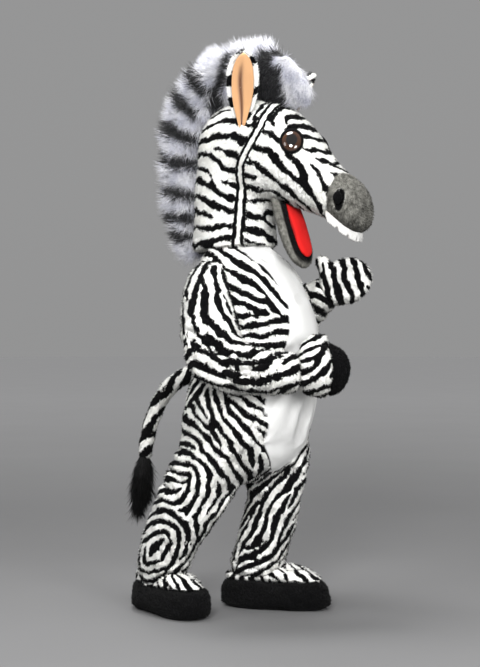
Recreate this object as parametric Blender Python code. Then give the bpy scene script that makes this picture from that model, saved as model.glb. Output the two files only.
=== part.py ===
"""A walkabout zebra costume on its stuffed display form: plush suit, hooded head, mitts and overshoes.

Metres, +Z up. The figure faces +X with its left side at +Y, and stands on z = 0. The stations below are in the
figure's own frame, and the last step moves everything so that the origin is at the middle of its base.
"""

import math

import bmesh
import bpy
from mathutils import Matrix, Vector

# Gaps and mesh density
GAP = 0.0003  # clear space between two pieces that meet
CUTTER_SIZE = 2.0  # side of the block that stands for a half space
PANEL_PROUD = 0.006  # how far the belly panel stands off the suit
TRUNK_POINTS = 18
LIMB_POINTS = 12
WAIST_Z = 0.930  # jacket above, trousers below
SIDES = {"right": -1, "left": 1}

FORWARD = Vector((1, 0, 0))
LEFT = Vector((0, 1, 0))
UP = Vector((0, 0, 1))

# Trunk: height, middle in x, half depth, half width
TRUNK = [
    (0.500, 0.020, 0.085, 0.105),
    (0.530, 0.020, 0.150, 0.175),
    (0.590, 0.020, 0.200, 0.230),
    (0.680, 0.022, 0.229, 0.260),
    (0.780, 0.040, 0.246, 0.268),
    (0.880, 0.055, 0.246, 0.252),
    (0.970, 0.064, 0.236, 0.236),
    (1.060, 0.068, 0.230, 0.236),
    (1.150, 0.060, 0.213, 0.236),
    (1.230, 0.040, 0.188, 0.226),
    (1.300, 0.022, 0.165, 0.200),
    (1.350, 0.010, 0.148, 0.165),
    (1.385, 0.006, 0.120, 0.128),
]
# Belly panel: height, half width
PANEL = [
    (1.350, 0.120),
    (1.250, 0.101),
    (1.150, 0.092),
    (1.050, 0.115),
    (0.950, 0.150),
    (0.850, 0.168),
    (0.750, 0.168),
    (0.650, 0.140),
    (0.585, 0.080),
    (0.535, 0.020),
]
# Hood that covers the wearer's head: height, middle in x, half depth, half width
NECK = [
    (1.362, -0.022, 0.158, 0.152),
    (1.375, -0.022, 0.163, 0.157),
    (1.420, -0.023, 0.160, 0.152),
    (1.500, -0.024, 0.155, 0.145),
    (1.600, -0.022, 0.155, 0.143),
    (1.680, -0.014, 0.152, 0.142),
    (1.735, 0.000, 0.135, 0.130),
    (1.765, 0.008, 0.090, 0.090),
]
# Head in upright slices: x, top, bottom, half width
HEAD = [
    (-0.152, 1.765, 1.695, 0.045),
    (-0.134, 1.830, 1.640, 0.092),
    (-0.085, 1.888, 1.590, 0.132),
    (-0.005, 1.918, 1.556, 0.152),
    (0.080, 1.926, 1.540, 0.161),
    (0.150, 1.916, 1.536, 0.161),
    (0.220, 1.884, 1.522, 0.154),
    (0.285, 1.828, 1.498, 0.141),
    (0.335, 1.760, 1.480, 0.127),
    (0.380, 1.696, 1.461, 0.113),
    (0.420, 1.650, 1.442, 0.108),
    (0.455, 1.626, 1.424, 0.114),
    (0.488, 1.602, 1.411, 0.111),
    (0.512, 1.568, 1.416, 0.094),
    (0.526, 1.530, 1.440, 0.062),
]
MUZZLE_START = Vector((0.420, 0.0, 1.550))  # the grey muzzle lies beyond this point
MUZZLE_FACING = Vector((0.97, 0.0, -0.24))
# Mane crest: x and z of its middle line, half height
MANE = [
    (0.318, 1.905, 0.024),
    (0.292, 1.942, 0.066),
    (0.190, 2.010, 0.114),
    (0.030, 2.034, 0.122),
    (-0.110, 1.982, 0.134),
    (-0.205, 1.860, 0.124),
    (-0.230, 1.680, 0.106),
    (-0.216, 1.500, 0.094),
    (-0.192, 1.385, 0.062),
    (-0.186, 1.352, 0.024),
]
# Limbs: middle of the sleeve or trouser leg, radius
UPPER_ARMS = {
    "right": [
        (-0.004, -0.130, 1.282, 0.066),
        (0.000, -0.178, 1.238, 0.097),
        (0.012, -0.224, 1.172, 0.106),
        (0.040, -0.275, 1.065, 0.107),
        (0.068, -0.310, 0.985, 0.101),
        (0.080, -0.324, 0.935, 0.090),
        (0.086, -0.332, 0.895, 0.062),
        (0.088, -0.334, 0.876, 0.020),
    ],
    "left": [
        (-0.004, 0.130, 1.282, 0.066),
        (0.000, 0.178, 1.238, 0.096),
        (0.010, 0.226, 1.172, 0.104),
        (0.022, 0.258, 1.110, 0.100),
        (0.016, 0.276, 1.060, 0.094),
        (0.008, 0.286, 1.016, 0.074),
        (0.004, 0.290, 0.988, 0.030),
    ],
}
FOREARMS = {
    "right": [
        (0.030, -0.344, 0.940, 0.030),
        (0.050, -0.338, 0.938, 0.064),
        (0.085, -0.328, 0.934, 0.086),
        (0.150, -0.300, 0.928, 0.092),
        (0.250, -0.238, 0.920, 0.085),
        (0.335, -0.172, 0.920, 0.080),
    ],
    "left": [
        (-0.034, 0.300, 1.028, 0.030),
        (-0.014, 0.298, 1.042, 0.062),
        (0.020, 0.294, 1.070, 0.082),
        (0.074, 0.284, 1.110, 0.088),
        (0.152, 0.266, 1.160, 0.078),
        (0.238, 0.247, 1.212, 0.066),
    ],
}
LEGS = {
    "right": [
        (0.000, -0.122, 0.720, 0.136),
        (-0.020, -0.140, 0.610, 0.130),
        (-0.072, -0.152, 0.490, 0.130),
        (-0.144, -0.156, 0.385, 0.119),
        (-0.212, -0.150, 0.280, 0.111),
        (-0.252, -0.138, 0.180, 0.102),
        (-0.264, -0.128, 0.124, 0.092),
    ],
    "left": [
        (0.040, 0.122, 0.720, 0.136),
        (0.074, 0.134, 0.610, 0.136),
        (0.072, 0.148, 0.490, 0.118),
        (0.060, 0.152, 0.400, 0.109),
        (0.022, 0.144, 0.285, 0.108),
        (-0.005, 0.131, 0.178, 0.108),
        (-0.010, 0.128, 0.126, 0.096),
    ],
}
# Mitts: how far beyond the wrist, radius
RIGHT_MITT = [
    (0.002, 0.060),
    (0.014, 0.082),
    (0.044, 0.094),
    (0.089, 0.098),
    (0.125, 0.094),
    (0.160, 0.077),
    (0.181, 0.044),
    (0.190, 0.012),
]
HOOF_FROM = 0.112
LEFT_MITT = [
    (-0.004, 0.050),
    (0.010, 0.068),
    (0.050, 0.082),
    (0.100, 0.090),
    (0.145, 0.078),
    (0.180, 0.048),
    (0.196, 0.014),
]
LEFT_MITT_TIP = Vector((0.420, 0.282, 1.297))
KNEES = {"right": (-0.144, -0.156, 0.385), "left": (0.060, 0.152, 0.400)}
GROIN = Vector((0.0, 0.0, 0.530))
GROIN_SLOPE = 0.55  # how fast the line between seat and leg rises towards the hip
ELBOWS = {  # point of the fold, and its facing
    "right": ((0.092, -0.326, 0.930), (0.57, 0.42, -0.71)),
    "left": ((0.010, 0.286, 1.060), (0.70, -0.08, -0.25)),
}
# Overshoes: middle of the sole, turn about Z in degrees
SHOES = {"right": (-0.220, -0.154, -24.0), "left": (0.070, 0.147, 15.0)}
SHOE_LENGTH = 0.420
SHOE_HALF_WIDTH = 0.090
SHOE_WALL = [(0.000, 0.93), (0.012, 0.985), (0.050, 1.00), (0.085, 0.965), (0.104, 0.90)]  # height, scale
VAMP_TOP = 0.175
# Tail and its tassel: middle line and radius
TAIL = [
    (-0.130, 0.0, 0.880, 0.042),
    (-0.200, 0.0, 0.898, 0.040),
    (-0.266, 0.0, 0.878, 0.036),
    (-0.323, 0.0, 0.836, 0.034),
    (-0.370, 0.0, 0.775, 0.033),
    (-0.402, 0.0, 0.700, 0.032),
    (-0.420, 0.0, 0.630, 0.031),
    (-0.430, 0.0, 0.565, 0.030),
]
TASSEL = [
    (-0.429, 0.0, 0.584, 0.030),
    (-0.432, 0.0, 0.540, 0.044),
    (-0.440, 0.0, 0.470, 0.051),
    (-0.450, 0.0, 0.400, 0.044),
    (-0.460, 0.0, 0.345, 0.026),
    (-0.466, 0.0, 0.318, 0.008),
]
# Ears: base and tip on the left side; the right one is its mirror image
EAR_BASE = Vector((0.070, 0.112, 1.790))
EAR_TIP = Vector((0.176, 0.280, 2.045))
EAR_FACES = Vector((0.50, 0.82, -0.30))
EAR_HALF_WIDTH = 0.060
EAR_CUP = 0.030
EAR_SHELL = 0.010
EAR_LINING = 0.006
EAR_ROWS = 6
EAR_COLUMNS = 5
# Eyes on the left side
EYE_CENTRE = Vector((0.284, 0.120, 1.742))
EYE_OUT = Vector((0.42, 0.84, 0.34))
EYE_RADII = (0.040, 0.046, 0.022)
# Mouth
JAW_HINGE = Vector((0.178, 0.0, 1.572))
JAW_TIP = Vector((0.274, 0.0, 1.290))
JAW_HALF_WIDTH = 0.102
JAW_THICK = 0.024
TRAY = [  # share of the length, share of the half width, share of the thickness
    (0.0, 0.80, 1.0),
    (0.30, 0.96, 1.0),
    (0.60, 0.99, 0.95),
    (0.80, 0.88, 0.85),
    (0.93, 0.62, 0.7),
    (1.0, 0.20, 0.4),
]
TONGUE_HALF_WIDTH = 0.055
TONGUE_THICK = 0.014
TEETH_COUNT = 7
TEETH_THICK = 0.018
TEETH_DROP = (0.016, 0.034)  # below the muzzle between two teeth, and at a tooth
TEETH_ARCH = (0.395, 0.098, 0.088)  # middle in x, reach in x, half width
NOSTRIL = Vector((0.463, 0.112, 1.532))
NOSTRIL_RADII = (0.026, 0.019, 0.012)

COLOURS = {
    "plush_white": (0.86, 0.86, 0.83),
    "plush_belly": (0.90, 0.90, 0.88),
    "plush_black": (0.012, 0.012, 0.013),
    "plush_grey": (0.16, 0.155, 0.145),
    "long_pile": (0.80, 0.80, 0.83),
    "ear_fleece": (0.83, 0.52, 0.27),
    "tongue_felt": (0.72, 0.02, 0.018),
    "teeth_vinyl": (0.90, 0.90, 0.88),
    "eye_gloss": (0.02, 0.02, 0.022),
}
GLOSSY = {"eye_gloss": 0.15, "teeth_vinyl": 0.35}


def clear_scene():
    for obj in list(bpy.data.objects):
        bpy.data.objects.remove(obj)


def material(name):
    found = bpy.data.materials.get(name)
    if found:
        return found
    made = bpy.data.materials.new(name)
    made.use_nodes = True
    shader = made.node_tree.nodes["Principled BSDF"]
    shader.inputs["Base Color"].default_value = (*COLOURS[name], 1.0)
    shader.inputs["Roughness"].default_value = GLOSSY.get(name, 0.95)
    shader.inputs["Metallic"].default_value = 0.0
    return made


def object_from(name, bm, slot):
    bmesh.ops.recalc_face_normals(bm, faces=bm.faces)
    bmesh.ops.triangulate(bm, faces=bm.faces)  # so that a grown copy has the same flat facets
    mesh = bpy.data.meshes.new(name)
    bm.to_mesh(mesh)
    bm.free()
    obj = bpy.data.objects.new(name, mesh)
    bpy.context.scene.collection.objects.link(obj)
    mesh.materials.append(material(slot))
    mesh.shade_smooth()
    return obj


def between(stations, steps):
    """The stations with steps - 1 more between each two, on a Catmull-Rom curve through them."""
    out = []
    last = len(stations) - 1
    for i in range(last):
        p0, p1 = stations[max(i - 1, 0)], stations[i]
        p2, p3 = stations[i + 1], stations[min(i + 2, last)]
        for k in range(steps):
            t = k / steps
            out.append(
                tuple(
                    b + 0.5 * t * (c - a + t * (2 * a - 5 * b + 4 * c - d + t * (3 * b - a - 3 * c + d)))
                    for a, b, c, d in zip(p0, p1, p2, p3)
                )
            )
    out.append(tuple(stations[last]))
    return out


def oval(centre, across, deep, r_across, r_deep, count, power=2.0):
    """Points round a superellipse: power 2 is an ellipse, and more is squarer."""
    ring = []
    for i in range(count):
        turn = 2 * math.pi * i / count
        c, s = math.cos(turn), math.sin(turn)
        ring.append(
            centre
            + across * (r_across * math.copysign(abs(c) ** (2 / power), c))
            + deep * (r_deep * math.copysign(abs(s) ** (2 / power), s))
        )
    return ring


def skin_rings(name, rings, slot):
    """One closed body through the rings, with a fan over each end."""
    bm = bmesh.new()
    made = [[bm.verts.new(p) for p in ring] for ring in rings]
    count = len(made[0])
    for low, high in zip(made, made[1:]):
        for i in range(count):
            j = (i + 1) % count
            bm.faces.new((low[i], low[j], high[j], high[i]))
    for ring in (made[0], made[-1]):
        middle = bm.verts.new(sum((v.co for v in ring), Vector()) / count)
        for i in range(count):
            bm.faces.new((ring[i], ring[(i + 1) % count], middle))
    return object_from(name, bm, slot)


def level_loft(name, stations, slot, count=TRUNK_POINTS, power=2.0):
    """A body through level ovals: height, middle in x, half depth, half width."""
    rings = [
        oval(Vector((x, 0, z)), LEFT, -FORWARD, width, depth, count, power)
        for z, x, depth, width in stations
    ]
    return skin_rings(name, rings, slot)


def upright_loft(name, stations, slot, count=TRUNK_POINTS, power=2.2):
    """A body through upright ovals: x, top, bottom, half width."""
    rings = [
        oval(Vector((x, 0, (top + low) / 2)), LEFT, UP, width, (top - low) / 2, count, power)
        for x, top, low, width in stations
    ]
    return skin_rings(name, rings, slot)


def tube(name, stations, slot, steps=1, count=LIMB_POINTS, side=LEFT, flatten=1.0):
    """A body along a line of points with a radius; flatten scales it across `side`."""
    fine = between(stations, steps)
    points = [Vector(s[:3]) for s in fine]
    rings = []
    for i, s in enumerate(fine):
        along = (points[min(i + 1, len(points) - 1)] - points[max(i - 1, 0)]).normalized()
        across = (side - along * side.dot(along)).normalized()
        rings.append(oval(points[i], across, along.cross(across), s[3] * flatten, s[3], count))
    return skin_rings(name, rings, slot)


def ball(name, centre, radii, axes, slot, rows=6, count=12):
    """An ellipsoid with its own three axes."""
    bm = bmesh.new()
    bmesh.ops.create_uvsphere(bm, u_segments=count, v_segments=rows, radius=1.0)
    turn = Matrix(axes).transposed().to_4x4()
    size = Matrix.Diagonal((*radii, 1.0))
    bmesh.ops.transform(bm, matrix=Matrix.Translation(centre) @ turn @ size, verts=bm.verts)
    return object_from(name, bm, slot)


def evaluate(obj):
    """Puts the object's modifiers into its mesh."""
    bpy.context.view_layer.update()
    graph = bpy.context.evaluated_depsgraph_get()
    mesh = bpy.data.meshes.new_from_object(obj.evaluated_get(graph))
    obj.modifiers.clear()
    obj.data = mesh
    return obj


def copy_of(obj, name="helper", grow=0.0):
    made = bpy.data.objects.new(name, obj.data.copy())
    bpy.context.scene.collection.objects.link(made)
    if grow:
        normals = [v.normal.copy() for v in made.data.vertices]
        for vertex, normal in zip(made.data.vertices, normals):
            vertex.co += normal * grow
    return made


def combine(obj, other, operation, keep_other=True):
    modifier = obj.modifiers.new(operation, "BOOLEAN")
    modifier.operation = operation
    modifier.solver = "EXACT"
    modifier.use_self = True
    modifier.object = other
    evaluate(obj)
    if not keep_other:
        bpy.data.objects.remove(other)
    return obj


def carve(obj, *others, gap=GAP):
    """Takes the others out of obj, with a gap round each."""
    for other in others:
        combine(obj, copy_of(other, grow=gap), "DIFFERENCE", keep_other=False)
    return obj


def clip(obj, point, normal):
    """Keeps what lies behind a plane, half a gap back from it."""
    facing = Vector(normal).normalized()
    turn = UP.rotation_difference(facing).to_matrix().to_4x4()
    bm = bmesh.new()
    bmesh.ops.create_cube(bm, size=CUTTER_SIZE)
    middle = Vector(point) + facing * (CUTTER_SIZE / 2 - GAP / 2)
    bmesh.ops.transform(bm, matrix=Matrix.Translation(middle) @ turn, verts=bm.verts)
    return combine(obj, object_from("half_space", bm, "plush_white"), "DIFFERENCE", keep_other=False)


def split(obj, point, normal, near_name, far_name, far_slot=None):
    """Parts obj at a plane: near_name stays behind it, and far_name is beyond it."""
    far = copy_of(obj, far_name)
    clip(far, point, -Vector(normal))
    clip(obj, point, normal)
    obj.name = near_name
    if far_slot:
        far.data.materials[0] = material(far_slot)
    return obj, far


def body_pieces():
    """The trunk in two, and the white panel down its front."""
    trunk = level_loft("jacket", TRUNK, "plush_white")
    outline = [(-w, z) for z, w in PANEL] + [(w, z) for z, w in reversed(PANEL)]
    bm = bmesh.new()
    back = [bm.verts.new((0.02, y, z)) for y, z in outline]
    front = [bm.verts.new((0.60, y, z)) for y, z in outline]
    bm.faces.new(back)
    bm.faces.new(front)
    for i in range(len(back)):
        j = (i + 1) % len(back)
        bm.faces.new((back[i], back[j], front[j], front[i]))
    panel = copy_of(trunk, "belly_panel_upper", grow=PANEL_PROUD)
    combine(panel, object_from("prism", bm, "plush_belly"), "INTERSECT", keep_other=False)
    carve(panel, trunk)
    panel.data.materials.clear()
    panel.data.materials.append(material("plush_belly"))
    level = (0, 0, WAIST_Z)
    panel, panel_low = split(panel, level, -UP, "belly_panel_upper", "belly_panel_lower")
    jacket, trousers = split(trunk, level, -UP, "jacket", "trousers")
    return jacket, trousers, panel, panel_low


def mitt_right():
    """Right mitt: a round fist with its thumb on top, and a black hoof end."""
    wrist = Vector(FOREARMS["right"][-1][:3])
    along = (wrist - Vector(FOREARMS["right"][-2][:3])).normalized()
    side = along.cross(UP).normalized()
    line = [(*(wrist + along * reach), radius) for reach, radius in RIGHT_MITT]
    body = tube("mitt_right", line, "plush_white", side=side, flatten=0.86)
    root = wrist + along * 0.020 + UP * 0.070
    tip = root + along * 0.082 + UP * 0.032
    middle = (root + tip) / 2 + UP * 0.012
    line = [(*root, 0.028), (*middle, 0.031), (*tip, 0.026), (*(tip + along * 0.014), 0.010)]
    thumb = tube("thumb", line, "plush_white", count=10, side=side)
    combine(body, thumb, "UNION", keep_other=False)
    return split(body, wrist + along * HOOF_FROM, along, "mitt_right", "hoof_pad_right", "plush_black")


def mitt_left():
    """Left mitt: an open mitten with its thumb up, striped towards the body and black on its outer face."""
    wrist = Vector(FOREARMS["left"][-1][:3])
    along = (LEFT_MITT_TIP - wrist).normalized()
    flat = (FORWARD * -0.28 + LEFT).normalized()
    flat = (flat - along * flat.dot(along)).normalized()
    line = [(*(wrist + along * reach), radius) for reach, radius in LEFT_MITT]
    body = tube("mitt_left", line, "plush_white", side=flat, flatten=0.62)
    across = flat.cross(along)
    if across.z < 0:
        across = -across
    root = wrist + along * 0.055 + across * 0.035
    tip = root + across * 0.098 - along * 0.022
    middle = (root + tip) / 2 - along * 0.004
    line = [(*root, 0.030), (*middle, 0.033), (*(tip - across * 0.012), 0.029), (*tip, 0.010)]
    thumb = tube("thumb", line, "plush_white", count=10, side=flat)
    combine(body, thumb, "UNION", keep_other=False)
    return split(body, wrist + flat * 0.018, flat, "mitt_left", "hoof_pad_left", "plush_black")


def shoe_outline(scale, count=20):
    """Points round a sole in its own frame: wider at the toe, round at both ends."""
    points = []
    half = SHOE_LENGTH / 2
    for i in range(count):
        turn = 2 * math.pi * i / count
        c, s = math.cos(turn), math.sin(turn)
        x = half * math.copysign(abs(c) ** 0.85, c)
        width = SHOE_HALF_WIDTH * (1.0 + 0.12 * c)
        points.append((x * scale, width * math.copysign(abs(s) ** 0.8, s) * scale))
    return points


def shoe(side):
    """One overshoe: its black wall with the sole, and the striped top over it."""
    x0, y0, turn = SHOES[side]
    place = Matrix.Translation((x0, y0, 0)) @ Matrix.Rotation(math.radians(turn), 4, "Z")
    wall_rings = [[place @ Vector((x, y, z)) for x, y in shoe_outline(scale)] for z, scale in SHOE_WALL]
    wall = skin_rings("shoe_wall_" + side, wall_rings, "plush_black")
    top = SHOE_WALL[-1][0] + GAP
    rings = []
    for k in range(5):
        rise = k / 4
        scale = SHOE_WALL[-1][1] * math.cos(rise * 0.42 * math.pi)
        drift = -0.060 * rise
        z = top + (VAMP_TOP - top) * math.sin(rise * 0.5 * math.pi)
        rings.append([place @ Vector((x + drift, y, z)) for x, y in shoe_outline(scale)])
    vamp = skin_rings("shoe_top_" + side, rings, "plush_white")
    return wall, vamp


def ear_grid(side, offset, shrink):
    """Points over a cupped leaf, from base to tip in rows, pushed out behind by offset."""
    mirror = Vector((1, SIDES[side], 1))
    base, tip, faces = EAR_BASE * mirror, EAR_TIP * mirror, EAR_FACES * mirror
    along = (tip - base).normalized()
    faces = (faces - along * faces.dot(along)).normalized()
    across = along.cross(faces)
    length = (tip - base).length
    grid = []
    for i in range(EAR_ROWS):
        t = shrink + (1 - 2 * shrink) * i / (EAR_ROWS - 1)
        swell = 0.30 + 0.70 * math.sin(math.pi / 2 * min(t * 1.15, 1.0) ** 0.8)
        half = max(EAR_HALF_WIDTH * (1 - shrink * 1.5) * swell * math.sqrt(1 - t**4), 0.004)
        row = []
        for j in range(EAR_COLUMNS):
            v = 2 * j / (EAR_COLUMNS - 1) - 1
            cup = EAR_CUP * (1 - v * v) * (1 - 0.6 * t)
            row.append(base + along * (length * t) + across * (half * v) - faces * (cup + offset))
        grid.append(row)
    return grid


def leaf(name, side, slot, offset, thick, shrink):
    """A closed leaf of even thickness."""
    front = ear_grid(side, offset, shrink)
    back = ear_grid(side, offset + thick, shrink)
    rows, columns = len(front), len(front[0])
    bm = bmesh.new()
    a = [[bm.verts.new(p) for p in row] for row in front]
    b = [[bm.verts.new(p) for p in row] for row in back]
    for i in range(rows - 1):
        for j in range(columns - 1):
            bm.faces.new((a[i][j], a[i][j + 1], a[i + 1][j + 1], a[i + 1][j]))
            bm.faces.new((b[i][j], b[i + 1][j], b[i + 1][j + 1], b[i][j + 1]))
    rim = [(i, 0) for i in range(rows)] + [(rows - 1, j) for j in range(1, columns)]
    rim += [(i, columns - 1) for i in range(rows - 2, -1, -1)] + [(0, j) for j in range(columns - 2, 0, -1)]
    for (i, j), (k, m) in zip(rim, rim[1:] + rim[:1]):
        bm.faces.new((a[i][j], a[k][m], b[k][m], b[i][j]))
    return object_from(name, bm, slot)


def eye(side):
    mirror = Vector((1, SIDES[side], 1))
    out = (EYE_OUT * mirror).normalized()
    up = (UP - out * out.z).normalized()
    return ball("eye_" + side, EYE_CENTRE * mirror, EYE_RADII, (up.cross(out), up, out), "eye_gloss")


def nostril(side):
    mirror = Vector((1, SIDES[side], 1))
    out = Vector((0.35, SIDES[side], 0.0)).normalized()
    axes = (UP, out.cross(UP), out)
    return ball("nostril_" + side, NOSTRIL * mirror, NOSTRIL_RADII, axes, "plush_black", rows=5, count=10)


def jaw_frame():
    along = (JAW_TIP - JAW_HINGE).normalized()
    inner = along.cross(LEFT).normalized()
    if inner.x < 0:
        inner = -inner
    return along, inner


def tray(name, start, length, half_width, thick, slot, count=14):
    """A flat lip-shaped slab along the lower jaw, round at its tip."""
    along, inner = jaw_frame()
    rings = [
        oval(start + along * (length * t), LEFT, inner, half_width * w, thick * h, count, 2.6)
        for t, w, h in TRAY
    ]
    return skin_rings(name, rings, slot)


def underside(x, y):
    """Height of the underside of the upper jaw."""
    for behind, ahead in zip(HEAD, HEAD[1:]):
        if x <= ahead[0]:
            break
    share = (x - behind[0]) / (ahead[0] - behind[0])
    top, low, width = (a + (b - a) * share for a, b in zip(behind[1:], ahead[1:]))
    return (top + low) / 2 - (top - low) / 2 * (1 - min(abs(y) / width, 0.9) ** 2.2) ** (1 / 2.2)


def teeth():
    """A plain row of teeth round the front of the upper jaw, swept along its underside."""
    middle, reach, half = TEETH_ARCH
    rings = []
    for i in range(3 * TEETH_COUNT + 1):
        share = (i // 3 + (0.0, 0.18, 0.82)[i % 3]) / TEETH_COUNT
        turn = math.radians(-84 + 168 * share)
        x, y = middle + reach * math.cos(turn), half * math.sin(turn)
        top = underside(x, y) + 0.006
        drop = top - 0.006 - TEETH_DROP[0 if i % 3 == 0 else 1]
        out = Vector((math.cos(turn), math.sin(turn), 0))
        middle_point = Vector((x, y, (top + drop) / 2))
        rings.append(oval(middle_point, out, UP, TEETH_THICK / 2, (top - drop) / 2, 6, 3.0))
    return skin_rings("upper_teeth", rings, "teeth_vinyl")


def head_pieces(jacket, panel):
    """Hood, head, muzzle, eyes, nostrils, ears and mane."""
    neck = level_loft("neck", NECK, "plush_white")
    head = upright_loft("head", HEAD, "plush_white")
    ears = []
    for side in SIDES:
        shell = leaf("ear_" + side, side, "plush_white", EAR_LINING + GAP, EAR_SHELL, 0.0)
        lining = leaf("ear_lining_" + side, side, "ear_fleece", 0.0, EAR_LINING, 0.05)
        carve(lining, head)
        carve(shell, lining, head)
        ears += [shell, lining]
    mane = tube("mane", [(x, 0.0, z, h) for x, z, h in MANE], "long_pile", steps=2, count=10, flatten=0.72)
    carve(mane, head, neck, jacket, *ears)
    carve(neck, jacket, panel, head)
    head, muzzle = split(head, MUZZLE_START, MUZZLE_FACING, "head", "muzzle", "plush_grey")
    carve(head, *[eye(side) for side in SIDES])
    carve(muzzle, *[nostril(side) for side in SIDES])
    return neck, head, muzzle


def mouth_pieces(neck, head, muzzle, jacket, panel):
    """Lower jaw, tongue and upper teeth."""
    along, inner = jaw_frame()
    length = (JAW_TIP - JAW_HINGE).length
    jaw = tray("lower_jaw", JAW_HINGE, length, JAW_HALF_WIDTH, JAW_THICK, "plush_grey")
    root = JAW_HINGE + along * 0.05 + inner * (JAW_THICK + TONGUE_THICK * 0.2)
    tongue = tray("tongue", root, length - 0.085, TONGUE_HALF_WIDTH, TONGUE_THICK, "tongue_felt")
    carve(jaw, head, neck, jacket, panel)
    carve(tongue, jaw, head)
    carve(teeth(), muzzle, head)


def arm_pieces(*body):
    """Sleeves, parted at the elbow, and mitts."""
    mitts = [*mitt_right(), *mitt_left()]
    for side in SIDES:
        arm = tube("arm", UPPER_ARMS[side], "plush_white")
        combine(arm, tube("fore", FOREARMS[side], "plush_white"), "UNION", keep_other=False)
        carve(arm, *body, *mitts)
        place, fold = ELBOWS[side]
        split(arm, Vector(place), fold, "upper_arm_" + side, "forearm_" + side)


def leg_pieces(trousers, panel_low):
    """Trouser legs joined to the seat, then parted from it at the groin and again at the knee; overshoes."""
    for side in SIDES:
        leg = tube("leg", LEGS[side], "plush_white", steps=2, count=12)
        combine(trousers, leg, "UNION", keep_other=False)
    for side, mirror in SIDES.items():
        leg = clip(copy_of(trousers), GROIN, (0, -GROIN_SLOPE * mirror, 1))
        clip(leg, (0, 0, 0), (0, -mirror, 0))
        fold = Vector(LEGS[side][-1][:3]) - Vector(LEGS[side][0][:3])
        thigh, shin = split(leg, Vector(KNEES[side]), fold, "thigh_" + side, "shin_" + side)
        carve(thigh, panel_low)
        wall, vamp = shoe(side)
        carve(vamp, shin)
        carve(shin, wall)
    for mirror in SIDES.values():
        clip(trousers, GROIN, (0, GROIN_SLOPE * mirror, -1))
    carve(trousers, panel_low)


def tail_pieces(trousers, jacket):
    tail = tube("tail", TAIL, "plush_white", count=10)
    tassel = tube("tail_tassel", TASSEL, "plush_black", count=10)
    carve(tail, trousers, jacket)
    carve(tassel, tail)


def build():
    clear_scene()
    jacket, trousers, panel, panel_low = body_pieces()
    neck, head, muzzle = head_pieces(jacket, panel)
    mouth_pieces(neck, head, muzzle, jacket, panel)
    arm_pieces(jacket, trousers, panel, panel_low)
    leg_pieces(trousers, panel_low)
    tail_pieces(trousers, jacket)
    centre_on_base()


def centre_on_base():
    """Moves everything so that the origin is at the middle of the figure's base."""
    shown = [o for o in bpy.data.objects if o.type == "MESH"]
    xs = [v.co.x for o in shown for v in o.data.vertices]
    ys = [v.co.y for o in shown for v in o.data.vertices]
    shift = Vector((-(min(xs) + max(xs)) / 2, -(min(ys) + max(ys)) / 2, 0))
    for obj in shown:
        obj.data.transform(Matrix.Translation(shift))


build()
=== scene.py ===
import math
import time

import bmesh
import bpy
import numpy as np
from mathutils import Euler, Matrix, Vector, noise


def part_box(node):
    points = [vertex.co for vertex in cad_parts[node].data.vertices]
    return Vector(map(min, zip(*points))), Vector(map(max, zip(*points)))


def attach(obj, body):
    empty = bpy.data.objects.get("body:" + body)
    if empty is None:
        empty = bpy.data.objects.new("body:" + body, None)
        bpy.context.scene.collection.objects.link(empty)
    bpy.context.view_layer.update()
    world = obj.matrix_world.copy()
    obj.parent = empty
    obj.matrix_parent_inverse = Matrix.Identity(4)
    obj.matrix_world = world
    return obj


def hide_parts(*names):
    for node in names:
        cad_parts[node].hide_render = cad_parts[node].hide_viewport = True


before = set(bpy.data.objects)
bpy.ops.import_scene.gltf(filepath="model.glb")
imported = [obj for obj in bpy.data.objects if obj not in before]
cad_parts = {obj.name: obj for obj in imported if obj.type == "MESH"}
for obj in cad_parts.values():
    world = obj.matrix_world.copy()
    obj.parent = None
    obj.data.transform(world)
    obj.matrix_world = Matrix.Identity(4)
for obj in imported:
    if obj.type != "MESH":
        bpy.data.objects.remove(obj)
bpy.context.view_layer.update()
startedAt = time.time()


def report(stage):
    print(f"{time.time() - startedAt:6.1f} s  {stage}")


# The figure's own origin: every place below is told from it, +X ahead, +Y to its left, +Z up
muzzleLow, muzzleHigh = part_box("muzzle")
muzzleReach = 0.526  # how far ahead of the figure's origin the muzzle ends
home = Vector((muzzleHigh.x - muzzleReach, (muzzleLow.y + muzzleHigh.y) / 2, 0.0))
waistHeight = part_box("jacket")[0].z
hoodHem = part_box("neck")[0].z
sideNames = {"right": -1, "left": 1}


def at(x, y, z):
    return home + Vector((x, y, z))


def both(*parts):
    # the CAD nodes of each part, on the right and then on the left
    return [part + "_" + side for side in sideNames for part in parts]


# Light, floor and camera

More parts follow.
